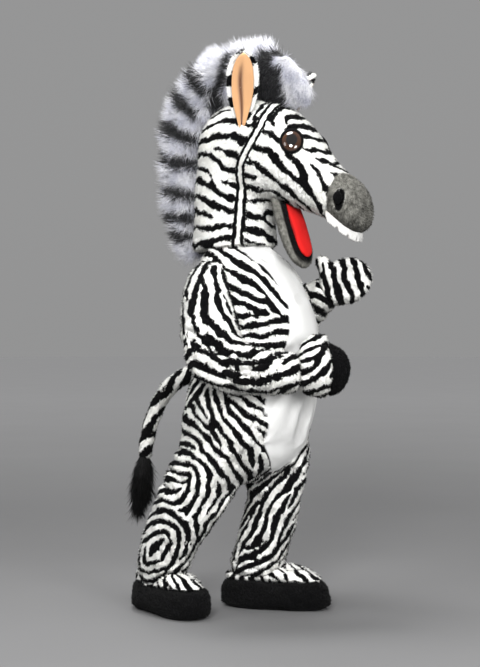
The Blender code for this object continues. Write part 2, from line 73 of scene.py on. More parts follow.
studio = {
    "distance": 5.5,
    "turn": 30.0,  # degrees round from the figure's right side towards its front
    "height": 1.05,
    "tall": 2.515,  # metres of the figure's plane from the top to the bottom of the picture
    "floorReach": 60.0,
    "floorMiddle": 1.5,  # metres ahead of the figure, where the evenly dark round of the floor's painted shading has its middle
    "floorColour": (0.95, 0.95, 0.954),
    "floorPaintedShading": [  # metres beyond the dark round, and the grey painted there: painted shade that dips a little close by, and painted light that rises far out, where the lamps fall off, so that the floor meets the sky
        (0.0, 0.184), (0.8, 0.181), (1.6, 0.175), (2.6, 0.191), (3.6, 0.22), (4.6, 0.277), (5.8, 0.355),
        (7.2, 0.45), (9.0, 0.525), (12.0, 0.6), (18.0, 0.68),
    ],
    "skyTones": [  # upwards from the horizon, and grey
        (0.0, 0.293), (0.08, 0.3), (0.16, 0.303), (0.26, 0.304), (0.36, 0.31), (0.6, 0.48), (1.0, 0.52),
    ],
    "aim": 1.0,  # the height the lamps look at
    "lamps": {
        "key": {"place": (2.6, -6.2, 3.4), "size": 2.0, "power": 570},
        "fill": {"place": (6.0, -4.0, 2.0), "size": 2.6, "power": 350},
        "side": {"place": (-2.0, -4.8, 3.4), "size": 2.2, "power": 60},
        "top": {"place": (-0.2, -0.3, 4.4), "size": 1.4, "power": 125},
        "back": {"place": (-2.4, 2.6, 4.8), "size": 2.2, "power": 50},
    },
}
cameraTurn = math.radians(studio["turn"])


def towardsCamera(away, height):
    return at(away * math.sin(cameraTurn), -away * math.cos(cameraTurn), height)


def linkPiece(name, data):
    piece = bpy.data.objects.new(name, data)
    bpy.context.scene.collection.objects.link(piece)
    return piece


def makeCamera():
    bpy.context.scene.view_settings.view_transform = "Standard"
    lens = bpy.data.cameras.new("studioCamera")
    lens.sensor_width = 36
    lens.lens = lens.sensor_width * studio["distance"] / studio["tall"]
    camera = linkPiece("studioCamera", lens)
    camera.location = towardsCamera(studio["distance"], studio["height"])
    camera.rotation_euler = (math.pi / 2, 0, cameraTurn)
    bpy.context.scene.camera = camera


def makeLight(name, settings):
    lamp = bpy.data.lights.new(name, "AREA")
    lamp.shape = "DISK"
    lamp.size = settings["size"]
    lamp.energy = settings["power"]
    light = linkPiece(name, lamp)
    light.location = at(*settings["place"])
    light.rotation_euler = (at(0, 0, studio["aim"]) - light.location).to_track_quat("-Z", "Y").to_euler()


def socket(sockets, name):
    # the one in use among sockets of the same name
    return next(one for one in sockets if one.name == name and one.enabled)


def addNode(tree, kind, inputs=None, **settings):
    # `inputs` has a value or another node's output for each input, by its name or its number
    node = tree.nodes.new(kind)
    for key, value in settings.items():
        setattr(node, key, value)
    for key, value in (inputs or {}).items():
        entry = node.inputs[key] if isinstance(key, int) else socket(node.inputs, key)
        if isinstance(value, bpy.types.NodeSocket):
            tree.links.new(value, entry)
        else:
            entry.default_value = value
    return node


def mathOf(tree, a, b, operation="ADD"):
    return addNode(tree, "ShaderNodeMath", {0: a, 1: b}, operation=operation).outputs[0]


def mixColour(tree, factor, a, b, blend="MIX"):
    a, b = ((*value, 1.0) if isinstance(value, tuple) else value for value in (a, b))
    inputs = {"Factor": factor, "A": a, "B": b}
    return socket(addNode(tree, "ShaderNodeMix", inputs, data_type="RGBA", blend_type=blend).outputs, "Result")


def ranged(tree, value, fromMin, fromMax, toMin=0.0, toMax=1.0, smooth=False):
    inputs = {"Value": value, "From Min": fromMin, "From Max": fromMax, "To Min": toMin, "To Max": toMax}
    kind = "SMOOTHSTEP" if smooth else "LINEAR"
    return addNode(tree, "ShaderNodeMapRange", inputs, interpolation_type=kind).outputs[0]


def noiseOf(tree, scale, detail=2.0, roughness=0.5):
    where = addNode(tree, "ShaderNodeTexCoord").outputs["Object"]
    inputs = {"Scale": scale, "Detail": detail, "Roughness": roughness, "Vector": where}
    return addNode(tree, "ShaderNodeTexNoise", inputs).outputs[0]


def valueOf(tree, name):
    # what the mesh says at each point under this name
    return addNode(tree, "ShaderNodeAttribute", attribute_name=name).outputs["Fac"]


def tonesOver(tree, value, tones):
    # greys laid out over a value
    reach = tones[-1][0]
    ramp = addNode(tree, "ShaderNodeValToRGB", {0: mathOf(tree, value, reach, "DIVIDE")})
    ramp.color_ramp.interpolation = "B_SPLINE"
    entries = ramp.color_ramp.elements
    while len(entries) < len(tones):
        entries.new(0.5)
    for entry, (level, grey) in zip(entries, tones):
        entry.position = level / reach
        entry.color = (grey, grey, grey * 1.004, 1)
    return ramp.outputs[0]


def newFinish(name, roughness, specular=0.5, sheen=0.0, sheenRoughness=0.5):
    finish = bpy.data.materials.new(name)
    finish.use_nodes = True
    shader = finish.node_tree.nodes["Principled BSDF"]
    values = {
        "Roughness": roughness, "Specular IOR Level": specular,
        "Sheen Weight": sheen, "Sheen Roughness": sheenRoughness,
    }
    for label, value in values.items():
        shader.inputs[label].default_value = value
    return finish, finish.node_tree, shader


def meshOf(name, *shells):
    # one mesh of all the shells, which are freed
    whole = bmesh.new()
    for shell in shells:
        scrap = bpy.data.meshes.new("scrap")
        shell.to_mesh(scrap)
        shell.free()
        whole.from_mesh(scrap)
        bpy.data.meshes.remove(scrap)
    mesh = bpy.data.meshes.new(name)
    whole.to_mesh(mesh)
    whole.free()
    return mesh


def makeWorld():
    world = bpy.data.worlds.new("studioAir")
    world.use_nodes = True
    bpy.context.scene.world = world
    tree = world.node_tree
    where = addNode(tree, "ShaderNodeTexCoord").outputs["Generated"]
    height = addNode(tree, "ShaderNodeSeparateXYZ", {0: where}).outputs["Z"]
    tree.links.new(tonesOver(tree, height, studio["skyTones"]), tree.nodes["Background"].inputs["Color"])


def makeFloor():
    shell = bmesh.new()
    bmesh.ops.create_circle(shell, cap_ends=True, cap_tris=True, segments=96, radius=studio["floorReach"])
    bmesh.ops.translate(shell, vec=at(0, 0, 0), verts=shell.verts)
    mesh = meshOf("studioFloor", shell)
    finish, tree, shader = newFinish("seamlessPaper", 0.9, 0.1)
    middle = studio["floorMiddle"]
    inputs = {0: addNode(tree, "ShaderNodeTexCoord").outputs["Object"], 1: towardsCamera(middle, 0)}
    away = addNode(tree, "ShaderNodeVectorMath", inputs, operation="DISTANCE").outputs["Value"]
    # painted light and shade on the floor, by distance from the dark round
    shade = tonesOver(tree, mathOf(tree, away, middle, "SUBTRACT"), studio["floorPaintedShading"])
    paper = mixColour(tree, 1.0, shade, studio["floorColour"], "MULTIPLY")
    grain = ranged(tree, noiseOf(tree, 1.3), 0.0, 1.0, 0.97, 1.03)
    tree.links.new(mixColour(tree, 1.0, paper, grain, "MULTIPLY"), shader.inputs["Base Color"])
    mesh.materials.append(finish)
    linkPiece("studioFloor", mesh)


makeCamera()
makeWorld()
makeFloor()
for lampName, lampSettings in studio["lamps"].items():
    makeLight(lampName + "Light", lampSettings)
report("studio")


# Meshes as arrays

def vectorsOf(items, label):
    flat = np.empty(len(items) * 3, np.float32)
    items.foreach_get(label, flat)
    return flat.reshape(-1, 3).astype(float)


def pointsOf(mesh):
    return vectorsOf(mesh.vertices, "co")


def normalsOf(mesh):
    return vectorsOf(mesh.vertex_normals, "vector")


def setPoints(mesh, points):
    mesh.vertices.foreach_set("co", points.astype(np.float32).ravel())
    mesh.update()


mostNeighbours = 8


def neighboursOf(mesh):
    # a table of each point's neighbours, filled up with the point itself, and 1 where the entry is real
    count = len(mesh.vertices)
    edges = np.empty(len(mesh.edges) * 2, np.int64)
    mesh.edges.foreach_get("vertices", edges)
    edges = edges.reshape(-1, 2)
    pairs = np.concatenate([edges, edges[:, ::-1]])
    pairs = pairs[np.argsort(pairs[:, 0], kind="stable")]
    counts = np.bincount(pairs[:, 0], minlength=count)
    first = np.concatenate([[0], np.cumsum(counts)[:-1]])
    place = np.arange(len(pairs)) - first[pairs[:, 0]]
    kept = place < mostNeighbours
    table = np.repeat(np.arange(count)[:, None], mostNeighbours, axis=1)
    real = np.zeros((count, mostNeighbours))
    table[pairs[kept, 0], place[kept]] = pairs[kept, 1]
    real[pairs[kept, 0], place[kept]] = 1.0
    return table, real


def relaxed(mesh, times):
    # where the points are after each has moved half way to the middle of its neighbours, over and over
    table, real = neighboursOf(mesh)
    total = real.sum(1)[:, None]
    points = pointsOf(mesh)
    for _ in range(times):
        middle = (points[table] * real[:, :, None]).sum(1) / total
        points = points + (middle - points) * 0.5
    return points


def unit(vectors):
    return vectors / np.maximum(np.linalg.norm(vectors, axis=-1, keepdims=True), 1e-9)


def cloudy(points, scale, seed):
    # smooth noise from about -1 to 1, one number a point
    shift = Vector((seed * 7.31, seed * 3.17, seed * 5.73))
    return np.array([noise.noise(Vector(p) * scale + shift) for p in points])


def hump(values, middle, wide):
    # 1 at the middle, and down to nothing on either side of it
    return np.exp(-(((values - middle) / wide) ** 2))


def smoothStep(low, high, values):
    t = np.clip((values - low) / (high - low), 0.0, 1.0)
    return t * t * (3 - 2 * t)


def nearestOn(line, points):
    # the place on a line of corners that is nearest to each point, and how far away it is
    best, found = np.full(len(points), 9.0), np.zeros(points.shape)
    for a, b in zip(line, line[1:]):
        a, b = np.array(a, float), np.array(b, float)
        t = np.clip(((points - a) @ (b - a)) / ((b - a) @ (b - a)), 0, 1)
        far = np.linalg.norm(points - a - t[:, None] * (b - a), axis=1)
        closer = far < best
        best = np.where(closer, far, best)
        found[closer] = (a + t[:, None] * (b - a))[closer]
    return found, best


def fromHome(points):
    return points - np.array(home)


def aside(local):
    # the same place on the left side
    return np.stack([local[:, 0], np.abs(local[:, 1]), local[:, 2]], axis=1)


def setValues(mesh, values):
    # by name, a number for the whole mesh or one for each point
    for name, numbers in values.items():
        layer = mesh.attributes.new(name, "FLOAT", "POINT")
        layer.data.foreach_set("value", np.full(len(layer.data), numbers, np.float32))


def setLean(mesh, way):
    # where each point's tufts lean
    layer = mesh.attributes.new("lean", "FLOAT_VECTOR", "POINT")
    layer.data.foreach_set("vector", way.astype(np.float32).ravel())


def asPlainMesh(piece):
    # what the modifiers make of the piece, as a mesh of its own
    graph = bpy.context.evaluated_depsgraph_get()
    mesh = bpy.data.meshes.new_from_object(piece.evaluated_get(graph))
    mesh.name = piece.name
    scrap = piece.data
    bpy.data.objects.remove(piece)
    if scrap.users == 0:
        bpy.data.meshes.remove(scrap)
    return mesh


joinOverlap = 0.0015  # each solid is let out by this, so that neighbours join


def stuffedForm(name, nodes, look):
    # one closed mesh of several CAD solids, its facets smoothed away
    shells = []
    for node in nodes:
        shell = bmesh.new()
        shell.from_mesh(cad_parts[node].data)
        bmesh.ops.remove_doubles(shell, verts=shell.verts, dist=0.00002)
        shell.normal_update()
        for vertex in shell.verts:
            vertex.co += vertex.normal * joinOverlap
        shells.append(shell)
    piece = linkPiece(name, meshOf(name, *shells))
    remesh = piece.modifiers.new("remesh", "REMESH")
    remesh.mode = "VOXEL"
    remesh.voxel_size = look["voxel"]
    mesh = asPlainMesh(piece)
    setPoints(mesh, relaxed(mesh, look["smoothing"]))
    mesh.shade_smooth()
    return mesh


def finer(mesh, name):
    piece = linkPiece(name, mesh)
    smooth = piece.modifiers.new("finer", "SUBSURF")
    smooth.levels = smooth.render_levels = 1
    return asPlainMesh(piece)


def pushOut(mesh, height):
    setPoints(mesh, pointsOf(mesh) + normalsOf(mesh) * np.asarray(height).reshape(-1, 1))


def unwrapSkin(mesh):
    # an unwrap of the skin's own shape, for its finish and for the place of each tuft on it
    piece = linkPiece("unwrapped", mesh)
    mesh.uv_layers.new(name="OFBake")
    bpy.context.view_layer.objects.active = piece
    piece.select_set(True)
    bpy.ops.object.mode_set(mode="EDIT")
    bpy.ops.mesh.select_all(action="SELECT")
    bpy.ops.uv.smart_project(angle_limit=math.radians(66), island_margin=0.001)
    bpy.ops.object.mode_set(mode="OBJECT")
    piece.select_set(False)
    bpy.data.objects.remove(piece)


looseCloth = {"stiff": 0.3, "pressure": 0.8, "letOut": -0.12, "steps": 16, "cap": 0.012, "start": 0.006}
closeCloth = {"stiff": 0.3, "pressure": 0.8, "letOut": -0.1, "steps": 14, "cap": 0.007, "start": 0.003}
wallCloth = {**closeCloth, "stiff": 0.2, "letOut": -0.12}


def buckle(mesh, look):
    # the cloth is let out a little and blown up from inside, so that it settles into folds of its own
    piece = linkPiece("buckling", mesh)
    start = pointsOf(mesh)
    cloth = piece.modifiers.new("cloth", "CLOTH")
    settings = {
        "quality": 5, "mass": 0.25, "tension_stiffness": 18, "compression_stiffness": 18,
        "bending_stiffness": look["stiff"], "shrink_min": look["letOut"],
        "use_pressure": True, "uniform_pressure_force": look["pressure"],
    }
    for key, value in settings.items():
        setattr(cloth.settings, key, value)
    cloth.settings.effector_weights.gravity = 0.0
    cloth.collision_settings.use_collision = False
    cloth.collision_settings.use_self_collision = False
    scene = bpy.context.scene
    for step in range(1, look["steps"] + 1):
        scene.frame_set(step)
    graph = bpy.context.evaluated_depsgraph_get()
    settled = bpy.data.meshes.new_from_object(piece.evaluated_get(graph))
    moved = pointsOf(settled) - start
    bpy.data.meshes.remove(settled)
    scene.frame_set(1)
    bpy.data.objects.remove(piece)
    far = np.linalg.norm(moved, axis=1, keepdims=True)
    moved *= np.minimum(1.0, look["cap"] / np.maximum(far, 1e-9))
    setPoints(mesh, start + moved)


# Stripes

# the near side's stripes are laid out along a level line, and seen squarely to it
nearTurn = math.radians(30)
nearAcross = np.array((math.cos(nearTurn), math.sin(nearTurn), 0.0))
nearInward = np.array((-nearAcross[1], nearAcross[0], 0.0))
stripeHabits = {
    "coarseRounds": 700, "fineRounds": 12, "flowRounds": 6,
    "guideReach": 0.035, "guideFall": 2.5, "grazing": 0.03,
    "wanderScale": 7.0, "pitchChange": 0.22, "pitchScale": 6.0, "sways": [(1.3, 20.0), (0.8, 45.0)],
}


def guides(*rows):
    # each row is a place on the near side, and how steeply the stripes rise there, in degrees, seen squarely
    found = []
    for x, y, z, slope in rows:
        a = math.radians(slope)
        along = math.cos(a) * nearAcross + math.sin(a) * np.array((0.0, 0.0, 1.0))
        found.append((np.array((x, y, z)), along, nearInward))
    return found


def mirrored(rows):
    flip = np.array((1.0, -1.0, 1.0))
    return rows + [tuple(part * flip for part in row) for row in rows]


def neighboursWays(across, table):
    # the neighbours' directions, and -1 for each that points the other way
    theirs = across[table]
    return theirs, np.sign((theirs * across[:, None, :]).sum(2))


def flowTogether(across, table, real):
    # evens out the direction across the stripes, which has no sign of its own
    for _ in range(stripeHabits["flowRounds"]):
        theirs, turned = neighboursWays(across, table)
        across = unit(across + (theirs * (turned * real)[:, :, None]).sum(1))
    return across


def settleWave(wave, points, across, rate, table, real, rounds):
    # each point takes up the wave its neighbours expect of it, over and over
    theirs, turned = neighboursWays(across, table)
    turned[turned == 0] = 1.0
    middle = 0.5 * (across[:, None, :] + turned[:, :, None] * theirs)
    step = (middle * (points[:, None, :] - points[table])).sum(2) * rate[:, None]
    carry = np.exp(1j * step) * real
    flipped = turned < 0
    for _ in range(rounds):
        near = wave[table]
        near = np.where(flipped, np.conj(near), near)
        wave = 0.15 * wave + (near * carry).sum(1)
        wave /= np.abs(wave) + 1e-9
    return wave


def stripesOn(mesh, look, seed, coarse, slip):
    # Waves whose crests follow the guides. Neighbouring points agree on the wave between them step by step,
    # and where the guides spread or turn the crests fork, as they do on a printed zebra plush.
    habits = stripeHabits
    points, normals = pointsOf(mesh), normalsOf(mesh)
    table, real = neighboursOf(mesh)
    local = fromHome(points)
    helper = np.where(np.abs(normals[:, 2:3]) < 0.9, np.array([[0.0, 0.0, 1.0]]), np.array([[1.0, 0.0, 0.0]]))
    east = unit(np.cross(helper, normals))
    north = np.cross(normals, east)
    a, b, c = np.zeros(len(points)), np.zeros(len(points)), np.zeros(len(points))
    for place, along, inward in look["guides"]:
        weight = (((local - place) ** 2).sum(1) + habits["guideReach"] ** 2) ** -habits["guideFall"]
        facing = normals @ inward
        laid = along - ((normals @ along) * facing / (facing**2 + habits["grazing"]))[:, None] * inward
        laid = unit(laid - normals * (laid * normals).sum(1)[:, None])
        e, n = (east * laid).sum(1), (north * laid).sum(1)
        a += weight * e * e
        b += weight * e * n
        c += weight * n * n
    angle = 0.5 * np.arctan2(2 * b, a - c) + look["wander"] * cloudy(points, habits["wanderScale"], seed)
    along = np.cos(angle)[:, None] * east + np.sin(angle)[:, None] * north
    across = unit(flowTogether(unit(np.cross(normals, along)), table, real))
    pitch = look["pitch"] * (1.0 + habits["pitchChange"] * cloudy(points, habits["pitchScale"], seed + 1))
    rate = 2 * math.pi / pitch
    draw = np.random.default_rng(seed)
    wave = np.zeros(len(points), complex)
    first = slice(len(coarse[0]))
    wave[first] = settleWave(np.exp(2j * math.pi * draw.random(first.stop)), points[first], across[first],
                             rate[first], *coarse, habits["coarseRounds"])
    wave = settleWave(wave, points, across, rate, table, real, habits["fineRounds"])
    sway = sum(high * cloudy(points, scale, seed + 2 + i) for i, (high, scale) in enumerate(habits["sways"]))
    return (wave * np.exp(1j * (sway + slip))).real


# Finishes

plushColours = {
    "white": (0.88, 0.88, 0.87), "cream": (0.88, 0.875, 0.82), "belly": (0.64, 0.64, 0.63),
    "black": (0.003, 0.003, 0.0033), "grey": (0.26, 0.255, 0.23), "greyDark": (0.07, 0.068, 0.06),
}
plushGrains = {  # how fine, how detailed and how rough each noise is
    "edge": (120.0, 3.0, 0.62), "cream": (9.0, 3.0), "mottle": (38.0, 4.0, 0.65), "pile": (420.0, 3.0, 0.6),
}
feltGrain = (22.0, 3.0)
hairGrains = {
    "edge": (90.0, 3.0, 0.6), "streak": (150.0, 2.0, 0.6), "broad": (16.0, 2.0), "pile": (300.0, 2.0),
}
stripeRagged, lockRagged = 0.34, 0.22  # how far the noise pushes the edges to and fro


def bumpOf(tree, shader, height, strength, distance):
    inputs = {"Strength": strength, "Distance": distance, "Height": height}
    tree.links.new(addNode(tree, "ShaderNodeBump", inputs).outputs[0], shader.inputs["Normal"])


def plushFinish(name):
    # white or black by the stripe value, which also carries painted shade in fold valleys, grey by the muzzle
    # value, plain white by the belly value, and painted shade at the foot of each tuft and on the skin under
    # the pile, where the pile shades itself
    finish, tree, shader = newFinish(name, 0.95, 0.05, 0.03, 0.45)
    edge = ranged(tree, noiseOf(tree, *plushGrains["edge"]), 0.3, 0.7, -stripeRagged, stripeRagged)
    stripe = mathOf(tree, valueOf(tree, "stripe"), edge)
    black = ranged(tree, stripe, -0.1, 0.1, smooth=True)
    white = mixColour(tree, noiseOf(tree, *plushGrains["cream"]), plushColours["white"], plushColours["cream"])
    pattern = mixColour(tree, black, white, plushColours["black"])
    pattern = mixColour(tree, valueOf(tree, "belly"), pattern, plushColours["belly"])
    mottle = ranged(tree, noiseOf(tree, *plushGrains["mottle"]), 0.32, 0.68)
    grey = mixColour(tree, mottle, plushColours["greyDark"], plushColours["grey"])
    pattern = mixColour(tree, valueOf(tree, "grey"), pattern, grey)
    # painted shade: the foot value darkens the roots of the tufts and the skin under them
    tip = ranged(tree, valueOf(tree, "foot"), 0.0, 1.0, 1.0, 0.8)
    tree.links.new(mixColour(tree, 1.0, pattern, tip, "MULTIPLY"), shader.inputs["Base Color"])
    bumpOf(tree, shader, noiseOf(tree, *plushGrains["pile"]), 0.55, 0.004)
    return finish


def feltFinish(look):
    # smooth napped cloth, with painted shade where the `fold` value says so
    finish, tree, shader = newFinish(look["finish"], look["rough"], 0.2, look["sheen"])
    shaded = tuple(c * 0.86 for c in look["colour"])
    base = mixColour(tree, noiseOf(tree, *feltGrain), look["colour"], shaded)
    tree.links.new(mixColour(tree, valueOf(tree, "fold"), base, look["deep"]), shader.inputs["Base Color"])
    bumpOf(tree, shader, noiseOf(tree, look["grain"], 3.0, 0.6), 0.35, 0.0015)
    return finish


def hairFinish(look):
    # long pile: light or dark by the `dark` value, with painted shade towards the skin, and the pale hair
    # streaked at random between a lit white and a painted-shade copy of it
    finish, tree, shader = newFinish(look["finish"], 0.75, 0.25, look["sheen"], 0.4)
    ragged = ranged(tree, noiseOf(tree, *hairGrains["edge"]), 0.25, 0.75, -lockRagged, lockRagged)
    patch = ranged(tree, mathOf(tree, ragged, valueOf(tree, "dark")), 0.36, 0.64, smooth=True)
    streaks = mathOf(tree, noiseOf(tree, *hairGrains["streak"]), noiseOf(tree, *hairGrains["broad"]))
    # painted shade: the pale hair is streaked between its lit white and a painted-shade copy
    pale = mixColour(tree, ranged(tree, streaks, 0.85, 1.25), look["light"], look["shade"])
    body = mixColour(tree, patch, pale, look["dark"])
    # painted shade towards the roots of the hair
    foot = ranged(tree, valueOf(tree, "foot"), 0.35, 1.0, 1.0, 0.68)
    tree.links.new(mixColour(tree, 1.0, body, foot, "MULTIPLY"), shader.inputs["Base Color"])
    bumpOf(tree, shader, noiseOf(tree, *hairGrains["pile"]), 0.4, 0.003)
    return finish


stripedPlush = plushFinish("stripedPlush")


# Pile

def tuftMesh(name, length, width, bend, levels=1):
    # a thin three-sided blade that stands on its root, leans over along +X and ends in a point
    shell = bmesh.new()
    rings = []
    for i in range(levels):
        t = i / levels
        r = width * (1 - 0.55 * t)
        lean = bend * length * t * t
        rings.append([
            shell.verts.new((r * math.cos(a) + lean, r * math.sin(a), length * t))
            for a in (math.radians(90), math.radians(210), math.radians(330))
        ])
    tip = shell.verts.new((bend * length, 0, length))
    for low, high in zip(rings, rings[1:]):
        for i in range(3):
            j = (i + 1) % 3
            shell.faces.new((low[i], low[j], high[j]))
            shell.faces.new((low[i], high[j], high[i]))
    for i in range(3):
        shell.faces.new((rings[-1][i], rings[-1][(i + 1) % 3], tip))
    bmesh.ops.recalc_face_normals(shell, faces=shell.faces)
    mesh = meshOf(name, shell)
    tuftMap = mesh.uv_layers.new(name="tuftMap")
    # the foot value runs from 1 at the root to 0 at the tip, for painted shade at the roots
    foot = mesh.attributes.new("foot", "FLOAT", "POINT")
    for vertex in mesh.vertices:
        foot.data[vertex.index].value = 1.0 - vertex.co.z / length
    for loop in mesh.loops:
        corner = mesh.vertices[loop.vertex_index].co
        tuftMap.data[loop.index].uv = (0.5 + corner.y / (4 * width), corner.z / length)
    mesh.shade_smooth()
    return mesh


def hiddenTuft(name, *shape):
    tuft = linkPiece(name, tuftMesh(name, *shape))
    tuft.hide_render = True
    return tuft


pileInputs = {
    "Tuft": "Object", "Tufts a square metre": "Float", "Shortest": "Float", "Longest": "Float",
    "Finish": "Material", "Seed": "Int",
}
patchSize = 0.003  # side of a tuft's place on the unwrap
tuftJitter = 0.3  # how far chance turns a tuft aside, against a lean of 1


def pileTree():
    # sows tufts over a skin, leans each along the skin's own direction and gives it its place on the unwrap
    tree = bpy.data.node_groups.new("sownPile", "GeometryNodeTree")
    face = tree.interface
    face.new_socket("Geometry", in_out="INPUT", socket_type="NodeSocketGeometry")
    for label, kind in pileInputs.items():
        face.new_socket(label, in_out="INPUT", socket_type="NodeSocket" + kind)
    face.new_socket("Geometry", in_out="OUTPUT", socket_type="NodeSocketGeometry")

    def made(kind, inputs, output=0, **settings):
        return addNode(tree, kind, inputs, **settings).outputs[output]

    def told(name, kind="FLOAT_VECTOR"):
        return made("GeometryNodeInputNamedAttribute", {"Name": name}, data_type=kind)

    def stored(geometry, name, value, kind, domain):
        inputs = {"Geometry": geometry, "Name": name, "Value": value}
        return made("GeometryNodeStoreNamedAttribute", inputs, data_type=kind, domain=domain)

    given = addNode(tree, "NodeGroupInput").outputs
    density = mathOf(tree, given["Tufts a square metre"], told("thick", "FLOAT"), "MULTIPLY")
    inputs = {"Mesh": given["Geometry"], "Density": density, "Seed": given["Seed"]}
    sown = made("GeometryNodeDistributePointsOnFaces", inputs, distribute_method="RANDOM")
    sown = stored(sown, "rootPlace", told("OFBake"), "FLOAT_VECTOR", "POINT")
    inputs = {0: (-tuftJitter,) * 3, 1: (tuftJitter,) * 3, "Seed": given["Seed"]}
    jitter = made("FunctionNodeRandomValue", inputs, data_type="FLOAT_VECTOR")
    way = made("ShaderNodeVectorMath", {0: told("lean"), 1: jitter}, operation="ADD")
    aimed = made("FunctionNodeAlignRotationToVector", {"Vector": way}, axis="Z")
    spin = made("FunctionNodeRandomValue", {2: 0.0, 3: 2 * math.pi}, 1, data_type="FLOAT")
    spun = made("FunctionNodeEulerToRotation", {0: made("ShaderNodeCombineXYZ", {"Z": spin})})
    turned = made("FunctionNodeRotateRotation", {0: aimed, 1: spun}, rotation_space="LOCAL")
    size = made("FunctionNodeRandomValue", {2: given["Shortest"], 3: given["Longest"]}, 1, data_type="FLOAT")
    size = mathOf(tree, size, told("tall", "FLOAT"), "MULTIPLY")
    tuft = made("GeometryNodeObjectInfo", {"Object": given["Tuft"]}, "Geometry")
    inputs = {"Points": sown, "Instance": tuft, "Rotation": turned, "Scale": size}
    real = made("GeometryNodeRealizeInstances", {0: made("GeometryNodeInstanceOnPoints", inputs)})
    inputs = {0: told("tuftMap"), 1: (patchSize, patchSize, 0), 2: told("rootPlace")}
    patch = made("ShaderNodeVectorMath", inputs, operation="MULTIPLY_ADD")
    mapped = stored(real, "OFBake", patch, "FLOAT2", "CORNER")
    coated = made("GeometryNodeSetMaterial", {"Geometry": mapped, "Material": given["Finish"]})
    addNode(tree, "NodeGroupOutput", {0: coated})
    return tree


sownPile = pileTree()


def wear(piece, nodes=()):
    # a piece of the costume, in place of its CAD nodes if it has any
    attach(piece, "root")
    if nodes:
        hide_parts(*nodes)
    piece.data.calc_loop_triangles()
    report(f"{piece.name}: {len(piece.data.loop_triangles)} triangles")


def dress(mesh, finish, name, nodes=()):
    mesh.materials.clear()
    mesh.materials.append(finish)
    wear(linkPiece(name, mesh), nodes)


def sowPile(name, skin, tuft, density, lengths, finish, seed):
    # the skin's tufts as a piece of their own; the skin itself is left as it is
    piece = linkPiece(name, skin.copy())
    sower = piece.modifiers.new("pile", "NODES")
    sower.node_group = sownPile
    values = dict(zip(pileInputs, (tuft, density, *lengths, finish, seed)))
    for item in sownPile.interface.items_tree:
        if item.item_type == "SOCKET" and item.in_out == "INPUT" and item.name in values:
            sower[item.identifier] = values[item.name]
    piece.update_tag()
    mesh = asPlainMesh(piece)
    for spare in ("rootPlace", "tuftMap", "lean", "tall", "thick"):
        layer = mesh.attributes.get(spare)
        if layer:
            mesh.attributes.remove(layer)
    mesh.shade_smooth()
    wear(linkPiece(name, mesh))


def layPile(mesh, lie, stand, thick=1.0):
    # tufts lean along `lie` over the surface, and up from it by `stand`; `thick` thins them out
    normals = normalsOf(mesh)
    lie = np.broadcast_to(np.asarray(lie, float), normals.shape)
    flat = unit(lie - normals * (lie * normals).sum(1)[:, None])
    setLean(mesh, unit(flat + normals * stand))
    setValues(mesh, {"tall": 1.0, "thick": thick})


shortTuft = hiddenTuft("shortTuft", 0.0085, 0.0019, 0.35)


# Folds

askew = np.array(Euler((0.6, 0.9, 0.4)).to_matrix())  # turns the bunching away from the room's axes
foldHabits = {
    "driftScale": 9.0, "creaseShadeWidth": 0.25, "puffShadeWidth": 0.09, "slipOver": 0.05, "sink": 0.55,
    "fullShadeHeight": 0.02,  # folds as high as this get the full painted shade in their valleys
}


def crease(at, across, pitch, high, reach, drift=0.5):
    # folds side by side over a reach of the cloth
    return {"at": at, "across": across, "pitch": pitch, "high": high, "reach": reach, "drift": drift}


def puffs(at, pitch, high, reach, slip=0.0):
    # bunched cloth: rounded lumps with sharp valleys between them, where the stripes slip past one another
    return {"at": at, "pitch": pitch, "high": high, "reach": reach, "slip": slip}


def foldsOn(points, folds, seed):
    # how high the folds stand, how much painted shade each point gets for lying low between folds, and how far
    # the stripes slip there
    habits, local = foldHabits, fromHome(points)
    high, valleyShade, slip = np.zeros(len(points)), np.zeros(len(points)), np.zeros(len(points))
    for i, fold in enumerate(folds):
        rel = local - np.array(fold["at"])
        near = np.exp(-((rel / np.array(fold["reach"])) ** 2).sum(1))
        if "across" in fold:
            drift = fold["drift"] * cloudy(points, habits["driftScale"], seed + i)
            swing = np.sin(math.pi * (rel @ unit(np.array(fold["across"], float)) / fold["pitch"] + drift))
            ridge, valleyShadeWidth = np.abs(swing) ** 0.7, habits["creaseShadeWidth"]
        else:
            swing = cloudy(points @ askew, 1.0 / fold["pitch"], seed + i)
            swing = swing + 0.4 * cloudy(points @ askew, 2.1 / fold["pitch"], seed + i + 50)
            ridge, valleyShadeWidth = np.minimum(2.2 * np.abs(swing), 1.0) ** 0.8, habits["puffShadeWidth"]
            slip += fold["slip"] * near * np.tanh(swing / habits["slipOver"])
        # painted shade, darkest low between the folds
        deep = hump(swing, 0.0, valleyShadeWidth) * min(fold["high"] / habits["fullShadeHeight"], 1.0)
        high += fold["high"] * near * (ridge - habits["sink"])
        valleyShade = np.maximum(valleyShade, near * deep)
    return high, valleyShade, slip


# What every plush piece goes through

plushHabits = {  # unless the piece's own look says otherwise
    "voxel": 0.0085, "smoothing": 8, "inset": 0.0045, "lumps": 0.0035, "lumpScale": 11.0, "folds": [],
    "finer": True, "rests": False, "blackness": 0.08, "wander": 0.25, "ragged": 0.8, "fray": 0.35,
    # valleys: how far low places between folds are painted black as shade
    "valleys": 1.1, "blots": [], "blotEdge": 0.008,
    # foot: how much painted shade the bare skin under the pile gets
    "density": 42000, "foot": 0.4, "lie": (0.0, 0.0, -1.0), "stand": 0.85, "lengths": (0.75, 1.25),
}


